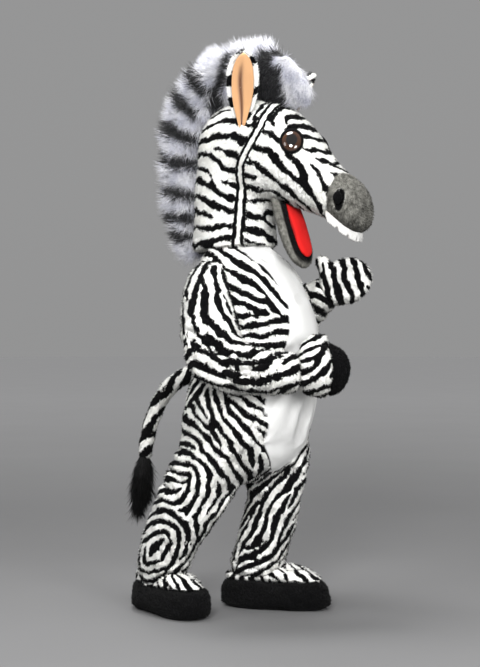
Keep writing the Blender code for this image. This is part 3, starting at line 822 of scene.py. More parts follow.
def stripesBlotsAndValleyShade(mesh, look, points, coarse, valleyShade, slip):
    seed = look["seed"]
    stripe = stripesOn(mesh, look, seed + 2, coarse, slip)
    stripe = stripe + look["blackness"] + look["ragged"] * cloudy(points, 15.0, seed + 3)
    # the stripe value is pushed towards black low between folds: painted shade
    stripe = stripe + look["valleys"] * valleyShade + look["fray"] * cloudy(points, 60.0, seed + 4)
    for x, y, z, radius in look["blots"]:
        near = radius - np.linalg.norm(fromHome(points) - np.array((x, y, z)), axis=1)
        near += 0.5 * radius * cloudy(points, 26.0, seed + 4)
        stripe = np.maximum(stripe, near / look["blotEdge"])
    return stripe


def plushPiece(name, look, nodes, shape=None, marks=None):
    # A stuffed form of the CAD nodes, settled as cloth, folded, wrapped in stripes and sown with pile.
    # `shape` adds to the height of the folds. `marks` changes the pattern, and tells how thick the pile is.
    look = {**plushHabits, **look}
    seed = look["seed"]
    mesh = stuffedForm(name, nodes, look)
    if "cloth" in look:
        pushOut(mesh, -look["cloth"]["start"])
        buckle(mesh, look["cloth"])
        report(name + " settled")
    coarse = neighboursOf(mesh)
    if look["finer"]:
        mesh = finer(mesh, name)
    points = pointsOf(mesh)
    high, valleyShade, slip = foldsOn(points, look["folds"], seed)
    high += look["lumps"] * cloudy(points, look["lumpScale"], seed + 1)
    if shape:
        high = shape(fromHome(points), high)
    pushOut(mesh, high - look["inset"])
    points = relaxed(mesh, 2)
    if look["rests"]:
        points[:, 2] -= points[:, 2].min()
    setPoints(mesh, points)
    unwrapSkin(mesh)
    stripe = look["tone"] if "tone" in look else stripesBlotsAndValleyShade(mesh, look, points, coarse, valleyShade, slip)
    pattern = {"stripe": stripe, "belly": 0.0, "grey": 0.0, "foot": look["foot"]}
    thick = marks(fromHome(points), pattern) if marks else 1.0
    setValues(mesh, pattern)
    layPile(mesh, look["lie"], look["stand"], thick)
    dress(mesh, stripedPlush, name + "Skin", nodes)
    sowPile(name + "Pile", mesh, shortTuft, look["density"], look["lengths"], stripedPlush, seed + 5)


# Jacket

bellyWidths = [  # height, half width of the plain panel down the front
    (0.535, 0.02), (0.585, 0.08), (0.65, 0.14), (0.75, 0.168), (0.85, 0.168), (0.95, 0.15),
    (1.05, 0.115), (1.15, 0.092), (1.25, 0.101), (1.37, 0.128),
]


def bellyMask(local):
    half = np.interp(local[:, 2], *zip(*bellyWidths), left=0.0)
    return smoothStep(-0.003, 0.003, half - np.abs(local[:, 1])) * smoothStep(0.055, 0.075, local[:, 0])


def bellyMarks(local, pattern):
    pattern["belly"] = bellyMask(local)
    pattern["foot"] = pattern["foot"] * (1 - pattern["belly"])
    return 1 - pattern["belly"]


def bellySeam(local, high):
    # the panel is smooth and tight, and its edge is sewn down
    belly = bellyMask(local)
    edge = hump(belly, 0.5, 0.45) * smoothStep(0.02, 0.06, local[:, 0])
    return high * (1 - 0.75 * belly) - 0.003 * edge


jacketLook = {
    "voxel": 0.0115, "smoothing": 12, "fill": 0.6, "seed": 20, "cloth": looseCloth,
    "pitch": 0.044, "density": 40000,
    "roll": 0.012, "tuck": 0.006,  # the cloth blouses over the waist, and is drawn in at it
    "guides": mirrored(guides(
        (0.15, -0.16, 1.28, -33), (0.21, -0.13, 1.215, -38), (0.24, -0.12, 1.16, -52),
        (0.17, -0.18, 1.165, -28), (0.19, -0.19, 1.085, 20), (0.25, -0.14, 1.07, 14),
        (0.06, -0.14, 1.34, -35), (0.22, -0.17, 0.98, 8), (0.05, -0.22, 0.99, -18),
        (-0.14, -0.08, 1.27, 40), (-0.15, -0.08, 1.12, 66), (-0.14, -0.12, 0.99, 72),
        (-0.05, -0.2, 1.1, -80), (-0.02, -0.16, 1.33, -50),
    )),
    "folds": [
        puffs((0.0, 0.0, 0.99), 0.055, 0.016, (0.3, 0.3, 0.06), 0.6),
        puffs((0.0, 0.0, 1.18), 0.085, 0.01, (0.3, 0.3, 0.14)),
        crease((0.16, -0.18, 1.13), (0.3, 0.0, 1.0), 0.07, 0.01, (0.1, 0.1, 0.12)),
        crease((0.1, -0.2, 1.01), (0.25, 0.0, 1.0), 0.055, 0.012, (0.16, 0.12, 0.07)),
        crease((-0.06, -0.18, 0.985), (-0.2, 0.0, 1.0), 0.05, 0.014, (0.14, 0.14, 0.05)),
        crease((-0.06, 0.18, 0.985), (-0.2, 0.0, 1.0), 0.05, 0.014, (0.14, 0.14, 0.05)),
        crease((0.1, 0.2, 1.01), (0.25, 0.0, 1.0), 0.055, 0.012, (0.16, 0.12, 0.07)),
        crease((-0.13, 0.0, 1.12), (0.0, 0.35, 1.0), 0.09, 0.01, (0.1, 0.2, 0.14)),
        crease((0.0, -0.14, 1.33), (1.0, 0.4, 0.2), 0.075, 0.006, (0.12, 0.1, 0.05)),
        crease((0.0, 0.14, 1.33), (1.0, -0.4, 0.2), 0.075, 0.006, (0.12, 0.1, 0.05)),
    ],
}


def jacketShape(local, high):
    trunk = smoothStep(0.3, 0.24, np.hypot(local[:, 0] - 0.04, local[:, 1]))
    above = local[:, 2] - waistHeight
    high = high + jacketLook["roll"] * hump(above, 0.045, 0.035) * trunk
    high = high - jacketLook["tuck"] * hump(above, 0.0, 0.01) * trunk
    return bellySeam(local, high)


plushPiece("jacket", jacketLook, ["jacket", "belly_panel_upper"], jacketShape, bellyMarks)


# Sleeves

sleeveLook = {
    "voxel": 0.0105, "smoothing": 9, "fill": 0.5, "seed": 30, "cloth": looseCloth,
    "pitch": 0.05, "density": 40000,
    "guides": mirrored(guides(
        (-0.05, -0.2, 1.3, 55), (0.0, -0.18, 1.325, 10), (0.0, -0.29, 1.245, 88),
        (0.08, -0.27, 1.245, -80), (-0.07, -0.26, 1.21, 80), (0.03, -0.35, 1.15, 88),
        (0.12, -0.33, 1.15, -72), (0.13, -0.27, 1.19, -70), (-0.05, -0.3, 1.13, -80),
        (0.0, -0.37, 1.065, -60), (0.1, -0.38, 1.06, -35), (0.1, -0.41, 1.005, -18),
        (-0.02, -0.37, 1.02, 85), (0.0, -0.37, 0.97, 60), (0.09, -0.42, 0.96, -32),
        (0.16, -0.4, 0.89, -30), (0.2, -0.36, 0.985, -5), (0.29, -0.29, 0.955, 28),
        (0.22, -0.33, 0.885, -8), (0.32, -0.22, 0.905, 30),
    )) + guides((0.21, 0.2, 1.19, -25), (0.12, 0.2, 1.12, -30)),
    "folds": [
        puffs((0.22, -0.34, 0.95), 0.044, 0.026, (0.12, 0.12, 0.085), 1.0),
        crease((0.24, -0.32, 0.985), (0.8, 0.5, 0.1), 0.052, 0.014, (0.1, 0.12, 0.055), 0.6),
        puffs((0.03, -0.37, 1.03), 0.048, 0.015, (0.11, 0.12, 0.08), 0.7),
        puffs((0.04, 0.3, 1.08), 0.042, 0.02, (0.12, 0.12, 0.12), 1.0),
        crease((0.13, -0.38, 0.99), (0.3, 0.1, 1.0), 0.055, 0.02, (0.09, 0.1, 0.06), 0.6),
        crease((0.12, -0.39, 0.9), (0.5, 0.2, 0.8), 0.055, 0.014, (0.12, 0.1, 0.05), 0.7),
        crease((0.0, -0.32, 1.06), (0.3, 0.0, 1.0), 0.075, 0.008, (0.1, 0.1, 0.1)),
        crease((0.0, -0.27, 1.2), (1.0, 0.3, 0.25), 0.085, 0.008, (0.12, 0.12, 0.12)),
        crease((0.28, -0.22, 0.93), (0.8, 0.6, 0.1), 0.055, 0.008, (0.08, 0.12, 0.1)),
        crease((0.04, 0.3, 1.08), (0.5, 0.0, 0.8), 0.05, 0.018, (0.12, 0.12, 0.1), 0.7),
        crease((0.15, 0.27, 1.15), (0.7, 0.0, 0.7), 0.045, 0.012, (0.1, 0.12, 0.1), 0.6),
        crease((0.0, 0.25, 1.2), (1.0, -0.3, 0.25), 0.085, 0.008, (0.12, 0.12, 0.12)),
    ],
}
plushPiece("sleeves", sleeveLook, both("upper_arm", "forearm"))


# Trousers

whorl = {
    "knee": (-0.144, -0.156, 0.385), "ankle": (-0.264, -0.128, 0.124), "legRadius": 0.108, "aside": -0.06,
    "height": 0.255, "across": 0.08, "tall": 0.12, "lean": -14.0,
    "around": 14, "rings": (0.25, 0.5, 0.75, 1.0),
}


def whorlGuides():
    # the stripes close into rings round one place on the calf
    knee, ankle = np.array(whorl["knee"]), np.array(whorl["ankle"])
    lean, around = math.radians(whorl["lean"]), whorl["around"]
    found = []
    for scale in whorl["rings"]:
        ring = []
        for i in range(around):
            turn = 2 * math.pi * i / around
            side, rise = whorl["across"] * scale * math.cos(turn), whorl["tall"] * scale * math.sin(turn)
            sideways = whorl["aside"] + side * math.cos(lean) - rise * math.sin(lean)
            height = whorl["height"] + side * math.sin(lean) + rise * math.cos(lean)
            middle = knee + (ankle - knee) * (knee[2] - height) / (knee[2] - ankle[2])
            depth = math.sqrt(max(whorl["legRadius"] ** 2 - sideways**2, (0.3 * whorl["legRadius"]) ** 2))
            ring.append(middle + nearAcross * sideways - nearInward * depth)
        for i, place in enumerate(ring):
            found.append((place, unit(ring[(i + 1) % around] - ring[i - 1]), nearInward))
    return found


trousersLook = {
    "voxel": 0.0115, "smoothing": 12, "fill": 0.6, "seed": 40, "cloth": looseCloth,
    "pitch": 0.038, "density": 40000,
    "tuck": 0.006,  # they go in under the jacket
    "guides": mirrored(guides(
        (-0.05, -0.22, 0.855, 52), (-0.14, -0.15, 0.81, 65), (-0.135, -0.15, 0.74, -48),
        (-0.04, -0.22, 0.715, -30), (-0.03, -0.24, 0.785, -60), (0.03, -0.25, 0.81, -85),
        (0.17, -0.2, 0.82, -25), (0.12, -0.23, 0.88, -24), (0.15, -0.21, 0.75, -35),
        (0.18, -0.16, 0.69, -48), (0.11, -0.24, 0.67, -55), (0.14, -0.14, 0.62, -72),
        (-0.12, -0.17, 0.655, -12), (0.0, -0.26, 0.59, -42), (-0.13, -0.18, 0.57, 5),
        (0.08, -0.2, 0.545, -50), (-0.13, -0.19, 0.52, -5), (0.0, -0.26, 0.5, 88),
        (-0.05, -0.25, 0.425, 52), (0.0, -0.17, 0.4, 50), (-0.09, -0.16, 0.31, 58),
        (-0.19, -0.18, 0.455, 15), (-0.21, -0.18, 0.405, 12), (-0.2, 0.0, 0.8, 0),
    ) + whorlGuides()) + guides(
        (0.14, 0.03, 0.56, 38), (0.2, 0.08, 0.62, 38), (0.17, 0.06, 0.475, 48), (0.1, 0.03, 0.455, 50),
        (0.16, 0.1, 0.385, 62), (0.12, 0.06, 0.315, 68), (0.1, 0.03, 0.185, 28), (0.13, 0.08, 0.22, 45),
        (0.01, 0.05, 0.185, 20), (-0.06, 0.08, 0.2, 80), (0.02, 0.05, 0.36, 60),
    ),
    "blots": [(0.06, 0.04, 0.255, 0.036), (-0.1, -0.16, 0.32, 0.026), (0.02, -0.25, 0.72, 0.02)],
    "folds": [
        puffs((-0.03, 0.0, 0.8), 0.08, 0.012, (0.3, 0.3, 0.14), 0.3),
        puffs((-0.16, -0.15, 0.52), 0.048, 0.014, (0.1, 0.14, 0.1), 0.8),
        puffs((0.1, 0.13, 0.5), 0.05, 0.014, (0.12, 0.14, 0.1), 0.5),
        puffs((-0.2, -0.14, 0.27), 0.062, 0.012, (0.14, 0.16, 0.14), 0.3),
        puffs((0.03, 0.14, 0.29), 0.062, 0.012, (0.14, 0.16, 0.14), 0.3),
        crease((-0.19, -0.17, 0.54), (0.15, 0.0, 1.0), 0.046, 0.034, (0.08, 0.14, 0.11), 0.6),
        crease((-0.14, -0.1, 0.6), (0.15, 0.2, 1.0), 0.055, 0.013, (0.1, 0.18, 0.06), 0.6),
        crease((-0.06, -0.23, 0.47), (0.6, 0.0, 0.8), 0.06, 0.009, (0.1, 0.12, 0.09)),
        crease((-0.1, 0.12, 0.56), (0.15, -0.2, 1.0), 0.046, 0.022, (0.09, 0.18, 0.09), 0.6),
        crease((0.1, -0.1, 0.6), (0.7, 0.5, 0.7), 0.055, 0.012, (0.1, 0.12, 0.09)),
        crease((0.16, 0.12, 0.57), (-0.6, 0.3, 0.8), 0.055, 0.012, (0.1, 0.12, 0.09)),
        crease((-0.255, -0.13, 0.165), (-0.3, 0.0, 1.0), 0.036, 0.016, (0.16, 0.16, 0.042)),
        crease((-0.005, 0.13, 0.17), (0.2, 0.0, 1.0), 0.036, 0.016, (0.16, 0.16, 0.042)),
        crease((0.06, 0.14, 0.37), (-0.3, 0.0, 1.0), 0.06, 0.01, (0.12, 0.12, 0.1)),
        crease((0.05, -0.22, 0.87), (0.2, 0.0, 1.0), 0.055, 0.007, (0.16, 0.12, 0.04)),
    ],
}


def trousersShape(local, high):
    high = high - trousersLook["tuck"] * smoothStep(waistHeight - 0.03, waistHeight - 0.004, local[:, 2])
    return bellySeam(local, high)


trousersNodes = ["trousers", "belly_panel_lower"] + both("thigh", "shin")
plushPiece("trousers", trousersLook, trousersNodes, trousersShape, bellyMarks)


# Hood and muzzle

hoodSeam = [
    (0.062, 0.14, 1.355), (0.065, 0.14, 1.52), (0.075, 0.14, 1.606), (0.086, 0.14, 1.665),
    (0.121, 0.155, 1.721), (0.145, 0.15, 1.761), (0.169, 0.12, 1.809), (0.18, 0.07, 1.867),
    (0.178, 0.0, 1.9),
]
seamSquash = np.array((1.0, 0.12, 1.0))  # it runs over the surface whatever its width, so sideways counts less
piping = {
    "white": 0.007, "blackAt": 0.0125, "blackWide": 0.0055, "blackChange": 0.003, "ragged": 0.0035,
    "fades": (0.014, 0.03),  # the hood's own stripes come up from nothing over this
}
muzzleStart = np.array((0.42, 0.0, 1.55))
muzzleFacing = np.array((0.97, 0.0, -0.24))
nostrilPlace = np.array((0.466, 0.112, 1.528))
nostrilSize = np.array((0.023, 0.035, 0.048))

hoodLook = {
    "voxel": 0.01, "smoothing": 12, "fill": 0.9, "seed": 60, "lumps": 0.002,
    "pitch": 0.056, "blackness": -0.24, "wander": 0.2,
    "groove": 0.004, "ridge": 0.003, "nostril": 0.01, "hem": 0.008,
    "guides": mirrored(guides(
        (-0.05, -0.13, 1.79, 2), (-0.08, -0.12, 1.85, 22), (-0.05, -0.15, 1.68, -44),
        (0.01, -0.15, 1.61, -32), (-0.06, -0.15, 1.55, -36), (-0.02, -0.15, 1.48, -14),
        (-0.02, -0.15, 1.4, 8), (0.16, -0.13, 1.38, -4), (0.16, -0.13, 1.46, 0), (0.16, -0.13, 1.54, -2),
        (0.15, -0.15, 1.62, -6), (0.16, -0.15, 1.7, -34), (0.2, -0.15, 1.61, -30),
        (0.26, -0.14, 1.56, -42), (0.25, -0.15, 1.66, -52), (0.22, -0.15, 1.78, -48),
        (0.29, -0.14, 1.7, -62), (0.37, -0.12, 1.6, -66), (0.41, -0.1, 1.53, -60),
        (0.385, -0.115, 1.62, -76), (0.34, -0.1, 1.54, -46), (0.4, -0.06, 1.67, -8),
        (0.37, -0.07, 1.71, -10), (0.34, -0.08, 1.75, -8), (0.31, -0.08, 1.79, -8), (0.29, -0.09, 1.83, -6),
        (0.25, -0.1, 1.87, -10), (0.2, -0.1, 1.86, 60), (0.24, -0.11, 1.83, 80), (0.25, 0.0, 1.89, 0),
        (-0.15, -0.05, 1.6, -10),
    )),
    "blots": [
        (0.2, -0.1, 1.385, 0.034), (0.2, 0.1, 1.385, 0.034), (0.285, -0.115, 1.5, 0.024),
        (0.285, 0.115, 1.5, 0.024),
    ],
    "folds": [
        crease((0.46, -0.06, 1.58), (0.5, 0.0, 0.9), 0.06, 0.005, (0.05, 0.05, 0.05)),
        crease((0.0, -0.14, 1.4), (0.9, 0.0, 0.2), 0.08, 0.005, (0.2, 0.1, 0.04)),
    ],
}


def fromSeam(local):
    return nearestOn([np.array(corner) * seamSquash for corner in hoodSeam], aside(local) * seamSquash)[1]


def nostrilReach(local):
    # 1 at the rim of the nostril, and less inside it
    rel = aside(local) - nostrilPlace
    rel[:, 0] -= 0.12 * rel[:, 2]
    return np.linalg.norm(rel / nostrilSize, axis=1)


def hoodShape(local, high):
    groove, ridge = hoodLook["groove"], hoodLook["ridge"]
    seam, hole = fromSeam(local), nostrilReach(local)
    high = high - groove * hump(seam, 0.0, 0.005) + ridge * hump(seam, 0.012, 0.007)
    high = high - groove * hump(np.abs((local - muzzleStart) @ muzzleFacing), 0.0, 0.005)
    high = high - hoodLook["nostril"] * smoothStep(1.0, 0.4, hole) + ridge * hump(hole, 1.2, 0.25)
    return high + hoodLook["hem"] * smoothStep(0.05, 0.0, local[:, 2] - hoodHem)


def hoodMarks(local, pattern):
    # a white piping with a black stripe on either side of it, and the grey muzzle with black in its nostrils
    jitter = piping["ragged"] * cloudy(local, 55.0, 71)
    seam = fromSeam(local) + 0.9 * jitter
    wide = piping["blackWide"] + piping["blackChange"] * cloudy(local, 20.0, 72)
    flank = 1.4 - np.abs(seam - piping["blackAt"]) / wide * 1.4
    stripe, (low, high) = pattern["stripe"], piping["fades"]
    stripe = np.where(seam < high, np.maximum(stripe * smoothStep(low, high, seam), flank), stripe)
    stripe = np.where(seam < piping["white"], -1.5, stripe)
    hole = smoothStep(1.0, 0.9, nostrilReach(local) + 12 * jitter)
    beyond = (local - muzzleStart) @ muzzleFacing
    pattern["grey"] = smoothStep(-0.004, 0.004, beyond + jitter) * (1 - hole)
    pattern["stripe"] = np.where(hole > 0.5, 1.5, stripe)
    return 1 - 0.5 * hole


plushPiece("hood", hoodLook, ["neck", "head", "muzzle"], hoodShape, hoodMarks)

nostrilLook = {
    "voxel": 0.003, "smoothing": 4, "inset": 0.003, "fill": 0.9, "seed": 80, "lumps": 0.0, "tone": 1.5,
    "density": 60000, "lengths": (0.4, 0.6), "finer": False,
}
plushPiece("nostrils", nostrilLook, both("nostril"))


# Lower jaw, tongue and teeth

jawLook = {
    "voxel": 0.006, "smoothing": 6, "inset": 0.003, "fill": 0.7, "seed": 90, "lumps": 0.003, "tone": 1.5,
    "density": 60000, "lengths": (0.5, 0.9),
    "hinge": (0.178, 0.0, 1.572), "long": 0.298, "along": (0.322, 0.0, -0.947), "inner": (0.947, 0.0, 0.322),
    "widths": [(0.0, 0.082), (0.3, 0.098), (0.6, 0.101), (0.8, 0.09), (0.93, 0.063), (1.0, 0.02)],
}


def jawMarks(local, pattern):
    # grey outside, and black inside round the tongue, painted there as the shade of the gap between the tongue
    # and the jaw
    rel = local - np.array(jawLook["hinge"])
    half = np.interp(rel @ np.array(jawLook["along"]) / jawLook["long"], *zip(*jawLook["widths"]))
    within = smoothStep(0.84, 0.76, np.abs(local[:, 1]) / half)
    inside = within * smoothStep(0.008, 0.014, rel @ np.array(jawLook["inner"]))
    pattern["grey"] = 1.0 - inside
    return 1 - 0.5 * inside


plushPiece("lowerJaw", jawLook, ["lower_jaw"], marks=jawMarks)

tongueLook = {
    "voxel": 0.004, "smoothing": 5, "lumps": 0.002,
    # painted shade: darker from this height up into the mouth, and along the tongue's sides, where the mouth's
    # hollow shades it
    "paintedShadeFrom": (1.46, 1.53), "edge": (0.048, 0.056), "paintedEdgeShade": 0.8,
    "finish": "tongueFelt", "colour": (0.6, 0.01, 0.009), "deep": (0.05, 0.002, 0.002),
    "grain": 300.0, "rough": 0.85, "sheen": 0.0,
}
teethLook = {
    "voxel": 0.003, "smoothing": 3, "lumps": 0.0,
    # painted shade: darker from this height up, where the teeth go into the mouth
    "paintedShadeFrom": (1.462, 1.485), "edge": (0.048, 0.056), "paintedEdgeShade": 0.0,
    "finish": "teethVinyl", "colour": (0.56, 0.555, 0.54), "deep": (0.3, 0.28, 0.24),
    "grain": 120.0, "rough": 0.42, "sheen": 0.0,
}


def smoothPiece(name, look, node):
    # a stuffed form without pile, with painted shade up in the mouth and along its edges, where the mouth's
    # hollow shades it
    mesh = finer(stuffedForm(name, [node], look), name)
    points = pointsOf(mesh)
    local = fromHome(points)
    pushOut(mesh, look["lumps"] * cloudy(points, 24.0, 101))
    unwrapSkin(mesh)
    # the fold value here is painted shade
    edge = look["paintedEdgeShade"] * smoothStep(*look["edge"], np.abs(local[:, 1]))
    setValues(mesh, {"fold": edge + 0.5 * smoothStep(*look["paintedShadeFrom"], local[:, 2])})
    dress(mesh, feltFinish(look), name + "Skin", [node])


smoothPiece("tongue", tongueLook, "tongue")
smoothPiece("teeth", teethLook, "upper_teeth")


# Eyes

eyeLook = {
    "centre": (0.284, 0.12, 1.742), "out": (0.42, 0.84, 0.34), "wide": 0.04, "high": 0.046, "deep": 0.022,
    "sink": 0.006, "back": 0.006, "rings": 18, "around": 40,
    "brown": (0.03, 0.011, 0.004), "pupilBlack": (0.004, 0.003, 0.003), "rimBlack": (0.006, 0.004, 0.003),
    "pupil": 0.52, "rim": 0.86, "lidThick": 0.003, "lidSection": 10, "lidPile": 90000,
}


def eyeFrame(mirror):
    flip = Vector((1, mirror, 1))
    centre = at(*(Vector(eyeLook["centre"]) * flip))
    out = (Vector(eyeLook["out"]) * flip).normalized()
    up = (Vector((0, 0, 1)) - out * out.z).normalized()
    return centre - out * eyeLook["sink"], up.cross(out), up, out


def eyeFinish():
    # a dark pupil and rim, with the brown between them; `radius` is 0 in the middle and 1 at the edge
    finish, tree, shader = newFinish("eyeGloss", 0.08)
    streaks = ranged(tree, noiseOf(tree, 160.0), 0.3, 0.7, -0.04, 0.04)
    radius = mathOf(tree, valueOf(tree, "radius"), streaks)
    inside = ranged(tree, radius, eyeLook["pupil"] - 0.02, eyeLook["pupil"] + 0.02, smooth=True)
    outside = ranged(tree, radius, eyeLook["rim"] - 0.03, eyeLook["rim"] + 0.03, smooth=True)
    colour = mixColour(tree, inside, eyeLook["pupilBlack"], eyeLook["brown"])
    colour = mixColour(tree, outside, colour, eyeLook["rimBlack"])
    tree.links.new(colour, shader.inputs["Base Color"])
    shader.inputs["Coat Weight"].default_value = 0.6
    shader.inputs["Coat Roughness"].default_value = 0.03
    return finish


def band(shell, one, two):
    # the faces between two rings of points, either of which may be a single point
    around = max(len(one), len(two))
    for j in range(around):
        k = (j + 1) % around
        corners = (one[j % len(one)], two[j % len(two)], two[k % len(two)], one[k % len(one)])
        shell.faces.new(list(dict.fromkeys(corners)))


def makeEyes():
    # a domed glass eye, and a soft lid rolled round it
    look = eyeLook
    ball, lid = bmesh.new(), bmesh.new()
    shade = ball.verts.layers.float.new("radius")
    around, section = look["around"], look["lidSection"]
    for mirror in sideNames.values():
        centre, across, up, out = eyeFrame(mirror)

        def onEye(r, a, lift):
            side, rise = look["wide"] * r * math.cos(a), look["high"] * r * math.sin(a)
            return centre + across * side + up * rise + out * lift

        last = None
        for i in range(look["rings"] + 1):
            r = i / look["rings"]
            dome = look["deep"] * math.sqrt(max(1 - r**2.2, 0.0))
            row = [ball.verts.new(onEye(r, 2 * math.pi * j / around, dome)) for j in range(around if i else 1)]
            for vertex in row:
                vertex[shade] = r
            if last:
                band(ball, last, row)
            last = row
        back = ball.verts.new(centre - out * look["back"])
        back[shade] = 1.0
        band(ball, last, [back])
        # the lid's section is a small bean that leans in over the dome, deeper at the top than below
        loops = []
        for j in range(2 * around):
            a = math.pi * j / around
            inner = 1.0 - (0.1 + 0.1 * float(smoothStep(-0.2, 1.0, math.sin(a))))
            loop = []
            for k in range(section):
                b = 2 * math.pi * k / section
                r = 1.00 + (1.08 - inner) / 2 * math.cos(b)
                lift = look["deep"] * 0.42 * (1.05 - min(r, 1.0)) / 0.25 + 0.002
                loop.append(lid.verts.new(onEye(r, a, lift + look["lidThick"] * (1 + math.sin(b)))))
            loops.append(loop)
        for one, two in zip(loops, loops[1:] + loops[:1]):
            band(lid, one, two)
    for shell in (ball, lid):
        bmesh.ops.recalc_face_normals(shell, faces=shell.faces)
    eyes, lids = meshOf("eyes", ball), meshOf("eyelids", lid)
    for mesh in (eyes, lids):
        mesh.shade_smooth()
        unwrapSkin(mesh)
    dress(eyes, eyeFinish(), "eyes", both("eye"))
    # foot: painted shade on the lid's skin under its pile
    setValues(lids, {"stripe": 1.5, "belly": 0.0, "grey": 0.0, "foot": 0.5})
    layPile(lids, (0.3, 0.0, -1.0), 0.5)
    dress(lids, stripedPlush, "eyelids")
    sowPile("eyelidPile", lids, shortTuft, look["lidPile"], (0.2, 0.3), stripedPlush, 111)


makeEyes()


# Ears

earLook = {
    "base": (0.07, 0.112, 1.79), "tip": (0.176, 0.28, 2.045), "faces": (0.5, 0.82, -0.3),
    "liningWide": 0.04, "liningThick": 0.006, "liningShort": 0.015, "shellWide": 0.056, "shellThick": 0.01,
    "gap": 0.001, "cup": 0.026, "lift": 0.034, "groove": 0.016, "rows": 34, "columns": 17,
    "outline": [  # along the ear, share of its half width
        (0.0, 0.06), (0.12, 0.3), (0.25, 0.58), (0.4, 0.86), (0.55, 1.0), (0.7, 1.0), (0.82, 0.9),
        (0.91, 0.7), (0.97, 0.42), (1.0, 0.1),
    ],
    "bandPitch": 0.068, "density": 40000, "lengths": (0.8, 1.3),
    # the lining's peach, and the colour of the painted shade in its slit
    "finish": "earFleece", "colour": (0.58, 0.32, 0.155), "deep": (0.07, 0.018, 0.006),
    "grain": 260.0, "rough": 0.85, "sheen": 0.3,
}


def slitAt(t, v):
    # how far each place is into the slit that runs up the ear's lining
    bend = 0.1 * math.sin(7 * t) - 0.12
    return math.exp(-(((v - bend) / (0.14 + 0.04 * t)) ** 2)) * math.exp(-(((t - 0.4) / 0.42) ** 6))


def earLeaf(mirror, offset, thick, wide, short, groove):
    # a closed cupped leaf; `groove` sinks a slit up its middle, and the `fold` value paints shade into the
    # slit
    look = earLook
    flip = Vector((1, mirror, 1))
    base, tip = at(*(Vector(look["base"]) * flip)), at(*(Vector(look["tip"]) * flip))
    along = (tip - base).normalized()
    faces = Vector(look["faces"]) * flip
    faces = (faces - along * faces.dot(along)).normalized()
    across = along.cross(faces) * -mirror
    rows, columns = look["rows"], look["columns"]
    shell = bmesh.new()
    fold = shell.verts.layers.float.new("fold")

    def leafPoint(i, j, depth):
        t = short + (1 - 2 * short) * i / (rows - 1)
        half = wide * float(np.interp((t - short) / (1 - 2 * short), *zip(*look["outline"])))
        v = 2 * j / (columns - 1) - 1
        slit = slitAt(t, v)
        sink = look["cup"] * (1 - v * v) * (1 - 0.6 * t) + depth - look["lift"] * (1 - t) ** 2
        if groove and depth == offset:
            swollen = groove * (1 - v * v) * (1.15 - 0.5 * t)
            sink -= swollen + 0.002 * math.sin(9 * t + 2 * v) - groove * 0.95 * slit
        vertex = shell.verts.new(base + along * ((tip - base).length * t) + across * (half * v) - faces * sink)
        # painted shade in the slit, by the fold value
        vertex[fold] = slit if groove else 0.0
        return vertex

    front, back = [
        [[leafPoint(i, j, depth) for j in range(columns)] for i in range(rows)]
        for depth in (offset, offset + thick)
    ]
    for i in range(rows - 1):
        for j in range(columns - 1):
            shell.faces.new((front[i][j], front[i][j + 1], front[i + 1][j + 1], front[i + 1][j]))
            shell.faces.new((back[i][j], back[i + 1][j], back[i + 1][j + 1], back[i][j + 1]))
    rim = [(i, 0) for i in range(rows)] + [(rows - 1, j) for j in range(1, columns)]
    rim += [(i, columns - 1) for i in range(rows - 2, -1, -1)] + [(0, j) for j in range(columns - 2, 0, -1)]
    for (i, j), (k, m) in zip(rim, rim[1:] + rim[:1]):
        shell.faces.new((front[i][j], front[k][m], back[k][m], back[i][j]))
    bmesh.ops.recalc_face_normals(shell, faces=shell.faces)
    return shell


def bothEars(name, *shape):
    mesh = meshOf(name, *[earLeaf(mirror, *shape) for mirror in sideNames.values()])
    mesh.shade_smooth()
    mesh = finer(mesh, name)
    unwrapSkin(mesh)
    return mesh


def makeEars():
    look, inside = earLook, earLook["liningThick"]
    lining = bothEars("earLining", 0.0, inside, look["liningWide"], look["liningShort"], look["groove"])
    dress(lining, feltFinish(look), "earLiningSkin", both("ear_lining"))
    shell = bothEars("ear", inside + look["gap"], look["shellThick"], look["shellWide"], 0.0, 0.0)
    shell.attributes.remove(shell.attributes["fold"])
    points = pointsOf(shell)
    local = fromHome(points)
    turn = 2 * math.pi * (local[:, 2] - 0.6 * local[:, 0]) / look["bandPitch"]
    bands = np.cos(turn + 2.6 * cloudy(points, 12.0, 121)) - 0.15 + 0.6 * cloudy(points, 22.0, 122)
    # foot: painted shade on the skin under the pile
    setValues(shell, {"stripe": bands, "belly": 0.0, "grey": 0.0, "foot": 0.5})
    layPile(shell, (0.0, 0.2, 1.0), 0.8)
    dress(shell, stripedPlush, "earSkin", both("ear"))
    sowPile("earPile", shell, shortTuft, look["density"], look["lengths"], stripedPlush, 125)


makeEars()


# Mane

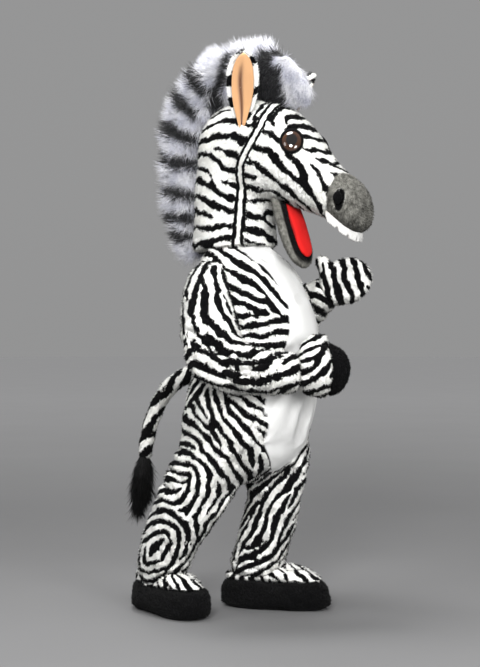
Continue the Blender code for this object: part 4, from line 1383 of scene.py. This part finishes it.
maneLook = {
    "crest": [  # its middle line, in x and z
        (0.318, 1.905), (0.292, 1.942), (0.19, 2.01), (0.03, 2.034), (-0.11, 1.982), (-0.205, 1.86),
        (-0.23, 1.68), (-0.216, 1.5), (-0.192, 1.385), (-0.186, 1.352),
    ],
    "core": 0.64, "voxel": 0.011, "smoothing": 6, "hair": 0.072, "hairWidth": 0.0014, "hairBend": 0.45,
    "density": 46000, "lumps": 0.006, "outward": 0.9, "swept": 1.3, "clumped": 0.38,
    "sweepBehind": (-0.3, 0.0, -0.35), "sweepAhead": (-0.3, 0.0, -1.1),
    "patches": [  # black locks: from and to in x and z, and half width
        (-0.205, 2.055, -0.12, 1.955, 0.026), (-0.268, 1.97, -0.165, 1.87, 0.027),
        (-0.325, 1.846, -0.175, 1.785, 0.027), (-0.34, 1.728, -0.18, 1.688, 0.028),
        (-0.3, 1.597, -0.185, 1.575, 0.025), (-0.305, 1.492, -0.19, 1.492, 0.023),
        (-0.275, 1.428, -0.175, 1.42, 0.021), (-0.015, 2.075, -0.08, 1.9, 0.026),
        (0.15, 1.9, 0.15, 1.985, 0.06), (0.15, 1.985, 0.138, 2.075, 0.036),
        (0.045, 2.02, 0.035, 2.1, 0.014), (0.05, 1.9, 0.05, 1.98, 0.045),
    ],
    # the pale hair's lit white and its painted-shade copy, and the black of its locks
    "finish": "manePile", "light": (0.8, 0.8, 0.83), "shade": (0.42, 0.43, 0.52),
    "dark": (0.009, 0.009, 0.011), "sheen": 0.2,
}
tasselLook = {
    "core": 0.56, "voxel": 0.008, "smoothing": 5, "hair": 0.08, "hairWidth": 0.0015, "hairBend": 0.25,
    "density": 160000, "lowest": 0.045,
    "finish": "tasselHair", "light": (0.01, 0.01, 0.01), "shade": (0.005, 0.005, 0.005),
    "dark": (0.002, 0.002, 0.002), "sheen": 0.0,
}


def clumpsOf(points, scale, seed):
    return np.stack([cloudy(points, scale, seed + i) for i in range(3)], axis=1)


def wearHair(name, mesh, look, node, way, tall, dark, hairSeeds):
    # long hair on a core, as one piece for each seed
    setLean(mesh, way)
    # the core under the hair gets painted shade by its foot value
    setValues(mesh, {"tall": tall, "thick": 1.0, "dark": dark, "foot": 0.9})
    finish = hairFinish(look)
    dress(mesh, finish, name + "Skin", [node])
    lock = hiddenTuft(name + "Lock", look["hair"], look["hairWidth"], look["hairBend"], 2)
    for pieceName, seed in hairSeeds.items():
        sowPile(pieceName, mesh, lock, look["density"], (0.5, 1.1), finish, seed)
    bpy.data.objects.remove(lock)


def crestPoint(local):
    # the nearest place on the mane's middle line
    return nearestOn([(x, 0.0, z) for x, z in maneLook["crest"]], local)[0]


def darkLocks(local):
    dark = np.zeros(len(local))
    for x0, z0, x1, z1, half in maneLook["patches"]:
        far = nearestOn([(x0, z0), (x1, z1)], local[:, [0, 2]])[1]
        dark = np.maximum(dark, smoothStep(half * 1.35, half * 0.55, far))
    return dark


def makeMane():
    look = maneLook
    mesh = stuffedForm("mane", ["mane"], look)
    local = fromHome(pointsOf(mesh))
    middle = crestPoint(local)
    local = middle + (local - middle) * look["core"]
    local[:, 0] -= 0.03 * smoothStep(0.18, 0.3, local[:, 0])
    setPoints(mesh, local + np.array(home))
    mesh = finer(mesh, "mane")
    pushOut(mesh, look["lumps"] * cloudy(pointsOf(mesh), 26.0, 131))
    unwrapSkin(mesh)
    points = pointsOf(mesh)
    local = fromHome(points)
    ahead = smoothStep(0.1, 0.3, local[:, 0])[:, None]
    sweep = np.array(look["sweepBehind"]) * (1 - ahead) + np.array(look["sweepAhead"]) * ahead
    clumps = clumpsOf(points, 28.0, 132)
    outward = unit(local - crestPoint(local))
    way = unit(look["outward"] * outward + look["swept"] * sweep + look["clumped"] * clumps)
    tall = (0.85 + 0.35 * cloudy(points, 20.0, 137)) * (1 - 0.35 * ahead[:, 0])
    seen = local + way * (tall * look["hair"])[:, None] * 0.6  # about where each hair is looked at
    hairSeeds = {"maneHair1": 141, "maneHair2": 142, "maneHair3": 143}
    wearHair("mane", mesh, look, "mane", way, tall, darkLocks(seen + 0.013 * clumps), hairSeeds)


makeMane()


# Mitts

mittLook = {
    "fill": 0.8, "seed": 150, "cloth": closeCloth,
    "pitch": 0.045, "blackness": 0.14, "wander": 0.2,
    "guides": guides(
        (0.36, -0.16, 1.02, 25), (0.36, -0.22, 0.93, 24), (0.4, -0.17, 0.86, 28), (0.42, -0.16, 0.965, 45),
        (0.25, 0.22, 1.22, -70), (0.33, 0.22, 1.22, -70), (0.4, 0.24, 1.26, -70), (0.26, 0.22, 1.32, -78),
    ),
}
hoofLook = {
    "inset": 0.004, "fill": 0.9, "seed": 160, "tone": 1.5,
    "density": 46000, "lengths": (0.8, 1.3),
}
plushPiece("mitts", mittLook, both("mitt"))
plushPiece("hoofPads", hoofLook, both("hoof_pad"))


# Overshoes

shoeTopLook = {
    "inset": 0.004, "fill": 0.7, "seed": 170, "cloth": closeCloth,
    "pitch": 0.036, "blackness": 0.0,
    "guides": guides(
        (-0.33, -0.26, 0.13, 62), (-0.28, -0.26, 0.12, 80), (-0.2, -0.26, 0.12, -80),
        (-0.13, -0.24, 0.13, -60), (-0.08, -0.2, 0.14, -45), (-0.05, 0.05, 0.13, 60),
        (0.02, 0.05, 0.13, 80), (0.1, 0.06, 0.13, -62), (0.18, 0.08, 0.14, -48), (0.22, 0.12, 0.14, -42),
    ),
}
shoeWallLook = {
    "smoothing": 6, "inset": 0.004, "fill": 0.7, "seed": 180, "tone": 1.5, "lumps": 0.008,
    "cloth": wallCloth, "density": 52000, "lengths": (0.9, 1.5), "lie": (-0.5, 0.0, 1.0), "stand": 0.7,
    "rests": True, "bareBelow": 0.013,
    "folds": [
        crease((-0.22, -0.2, 0.05), (0.5, 0.0, 1.0), 0.055, 0.006, (0.25, 0.2, 0.05)),
        crease((0.07, 0.15, 0.05), (0.5, 0.0, 1.0), 0.055, 0.006, (0.25, 0.2, 0.05)),
    ],
}


def flatSole(local, high):
    # what rests on the floor stays flat
    return high * smoothStep(0.006, 0.03, local[:, 2])


def bareSole(local, pattern):
    # no pile where it would reach below the sole
    return local[:, 2] > shoeWallLook["bareBelow"]


plushPiece("shoeTops", shoeTopLook, both("shoe_top"))
plushPiece("shoeWalls", shoeWallLook, both("shoe_wall"), flatSole, bareSole)


# Tail

tailLook = {
    "fill": 0.8, "seed": 190, "lumps": 0.004, "lumpScale": 22.0,
    "pitch": 0.062, "blackness": 0.1, "density": 44000, "wander": 0.7, "ragged": 0.6,
    "guides": guides(
        (-0.25, -0.03, 0.89, 60), (-0.32, -0.03, 0.84, 40), (-0.38, -0.03, 0.76, 46),
        (-0.42, -0.03, 0.66, 62), (-0.43, -0.03, 0.6, 40), (-0.38, 0.04, 0.76, -40),
        (-0.42, 0.04, 0.65, -50),
    ),
}
plushPiece("tail", tailLook, ["tail"])


def makeTassel():
    # a slim core that ends well above the hair's tips
    look = tasselLook
    mesh = finer(stuffedForm("tassel", ["tail_tassel"], look), "tassel")
    points = pointsOf(mesh)
    low, high = points.min(0), points.max(0)
    foot, top = points[points[:, 2] < low[2] + 0.02].mean(0), points[points[:, 2] > high[2] - 0.02].mean(0)
    length = high[2] - low[2]
    middle = foot + (top - foot) * ((points[:, 2:3] - low[2]) / length)
    points = middle + (points - middle) * look["core"]
    points[:, 2] = low[2] + look["lowest"] + (points[:, 2] - low[2]) * (length - look["lowest"]) / length
    setPoints(mesh, points)
    unwrapSkin(mesh)
    points = pointsOf(mesh)
    way = unit(0.1 * unit(points - middle) + np.array((-0.02, 0, -1.0)) + 0.14 * clumpsOf(points, 34.0, 201))
    tall = 0.9 + 0.3 * cloudy(points, 25.0, 205)
    wearHair("tassel", mesh, look, "tail_tassel", way, tall, 1.0, {"tasselHair": 206})


makeTassel()

bpy.data.objects.remove(shortTuft)
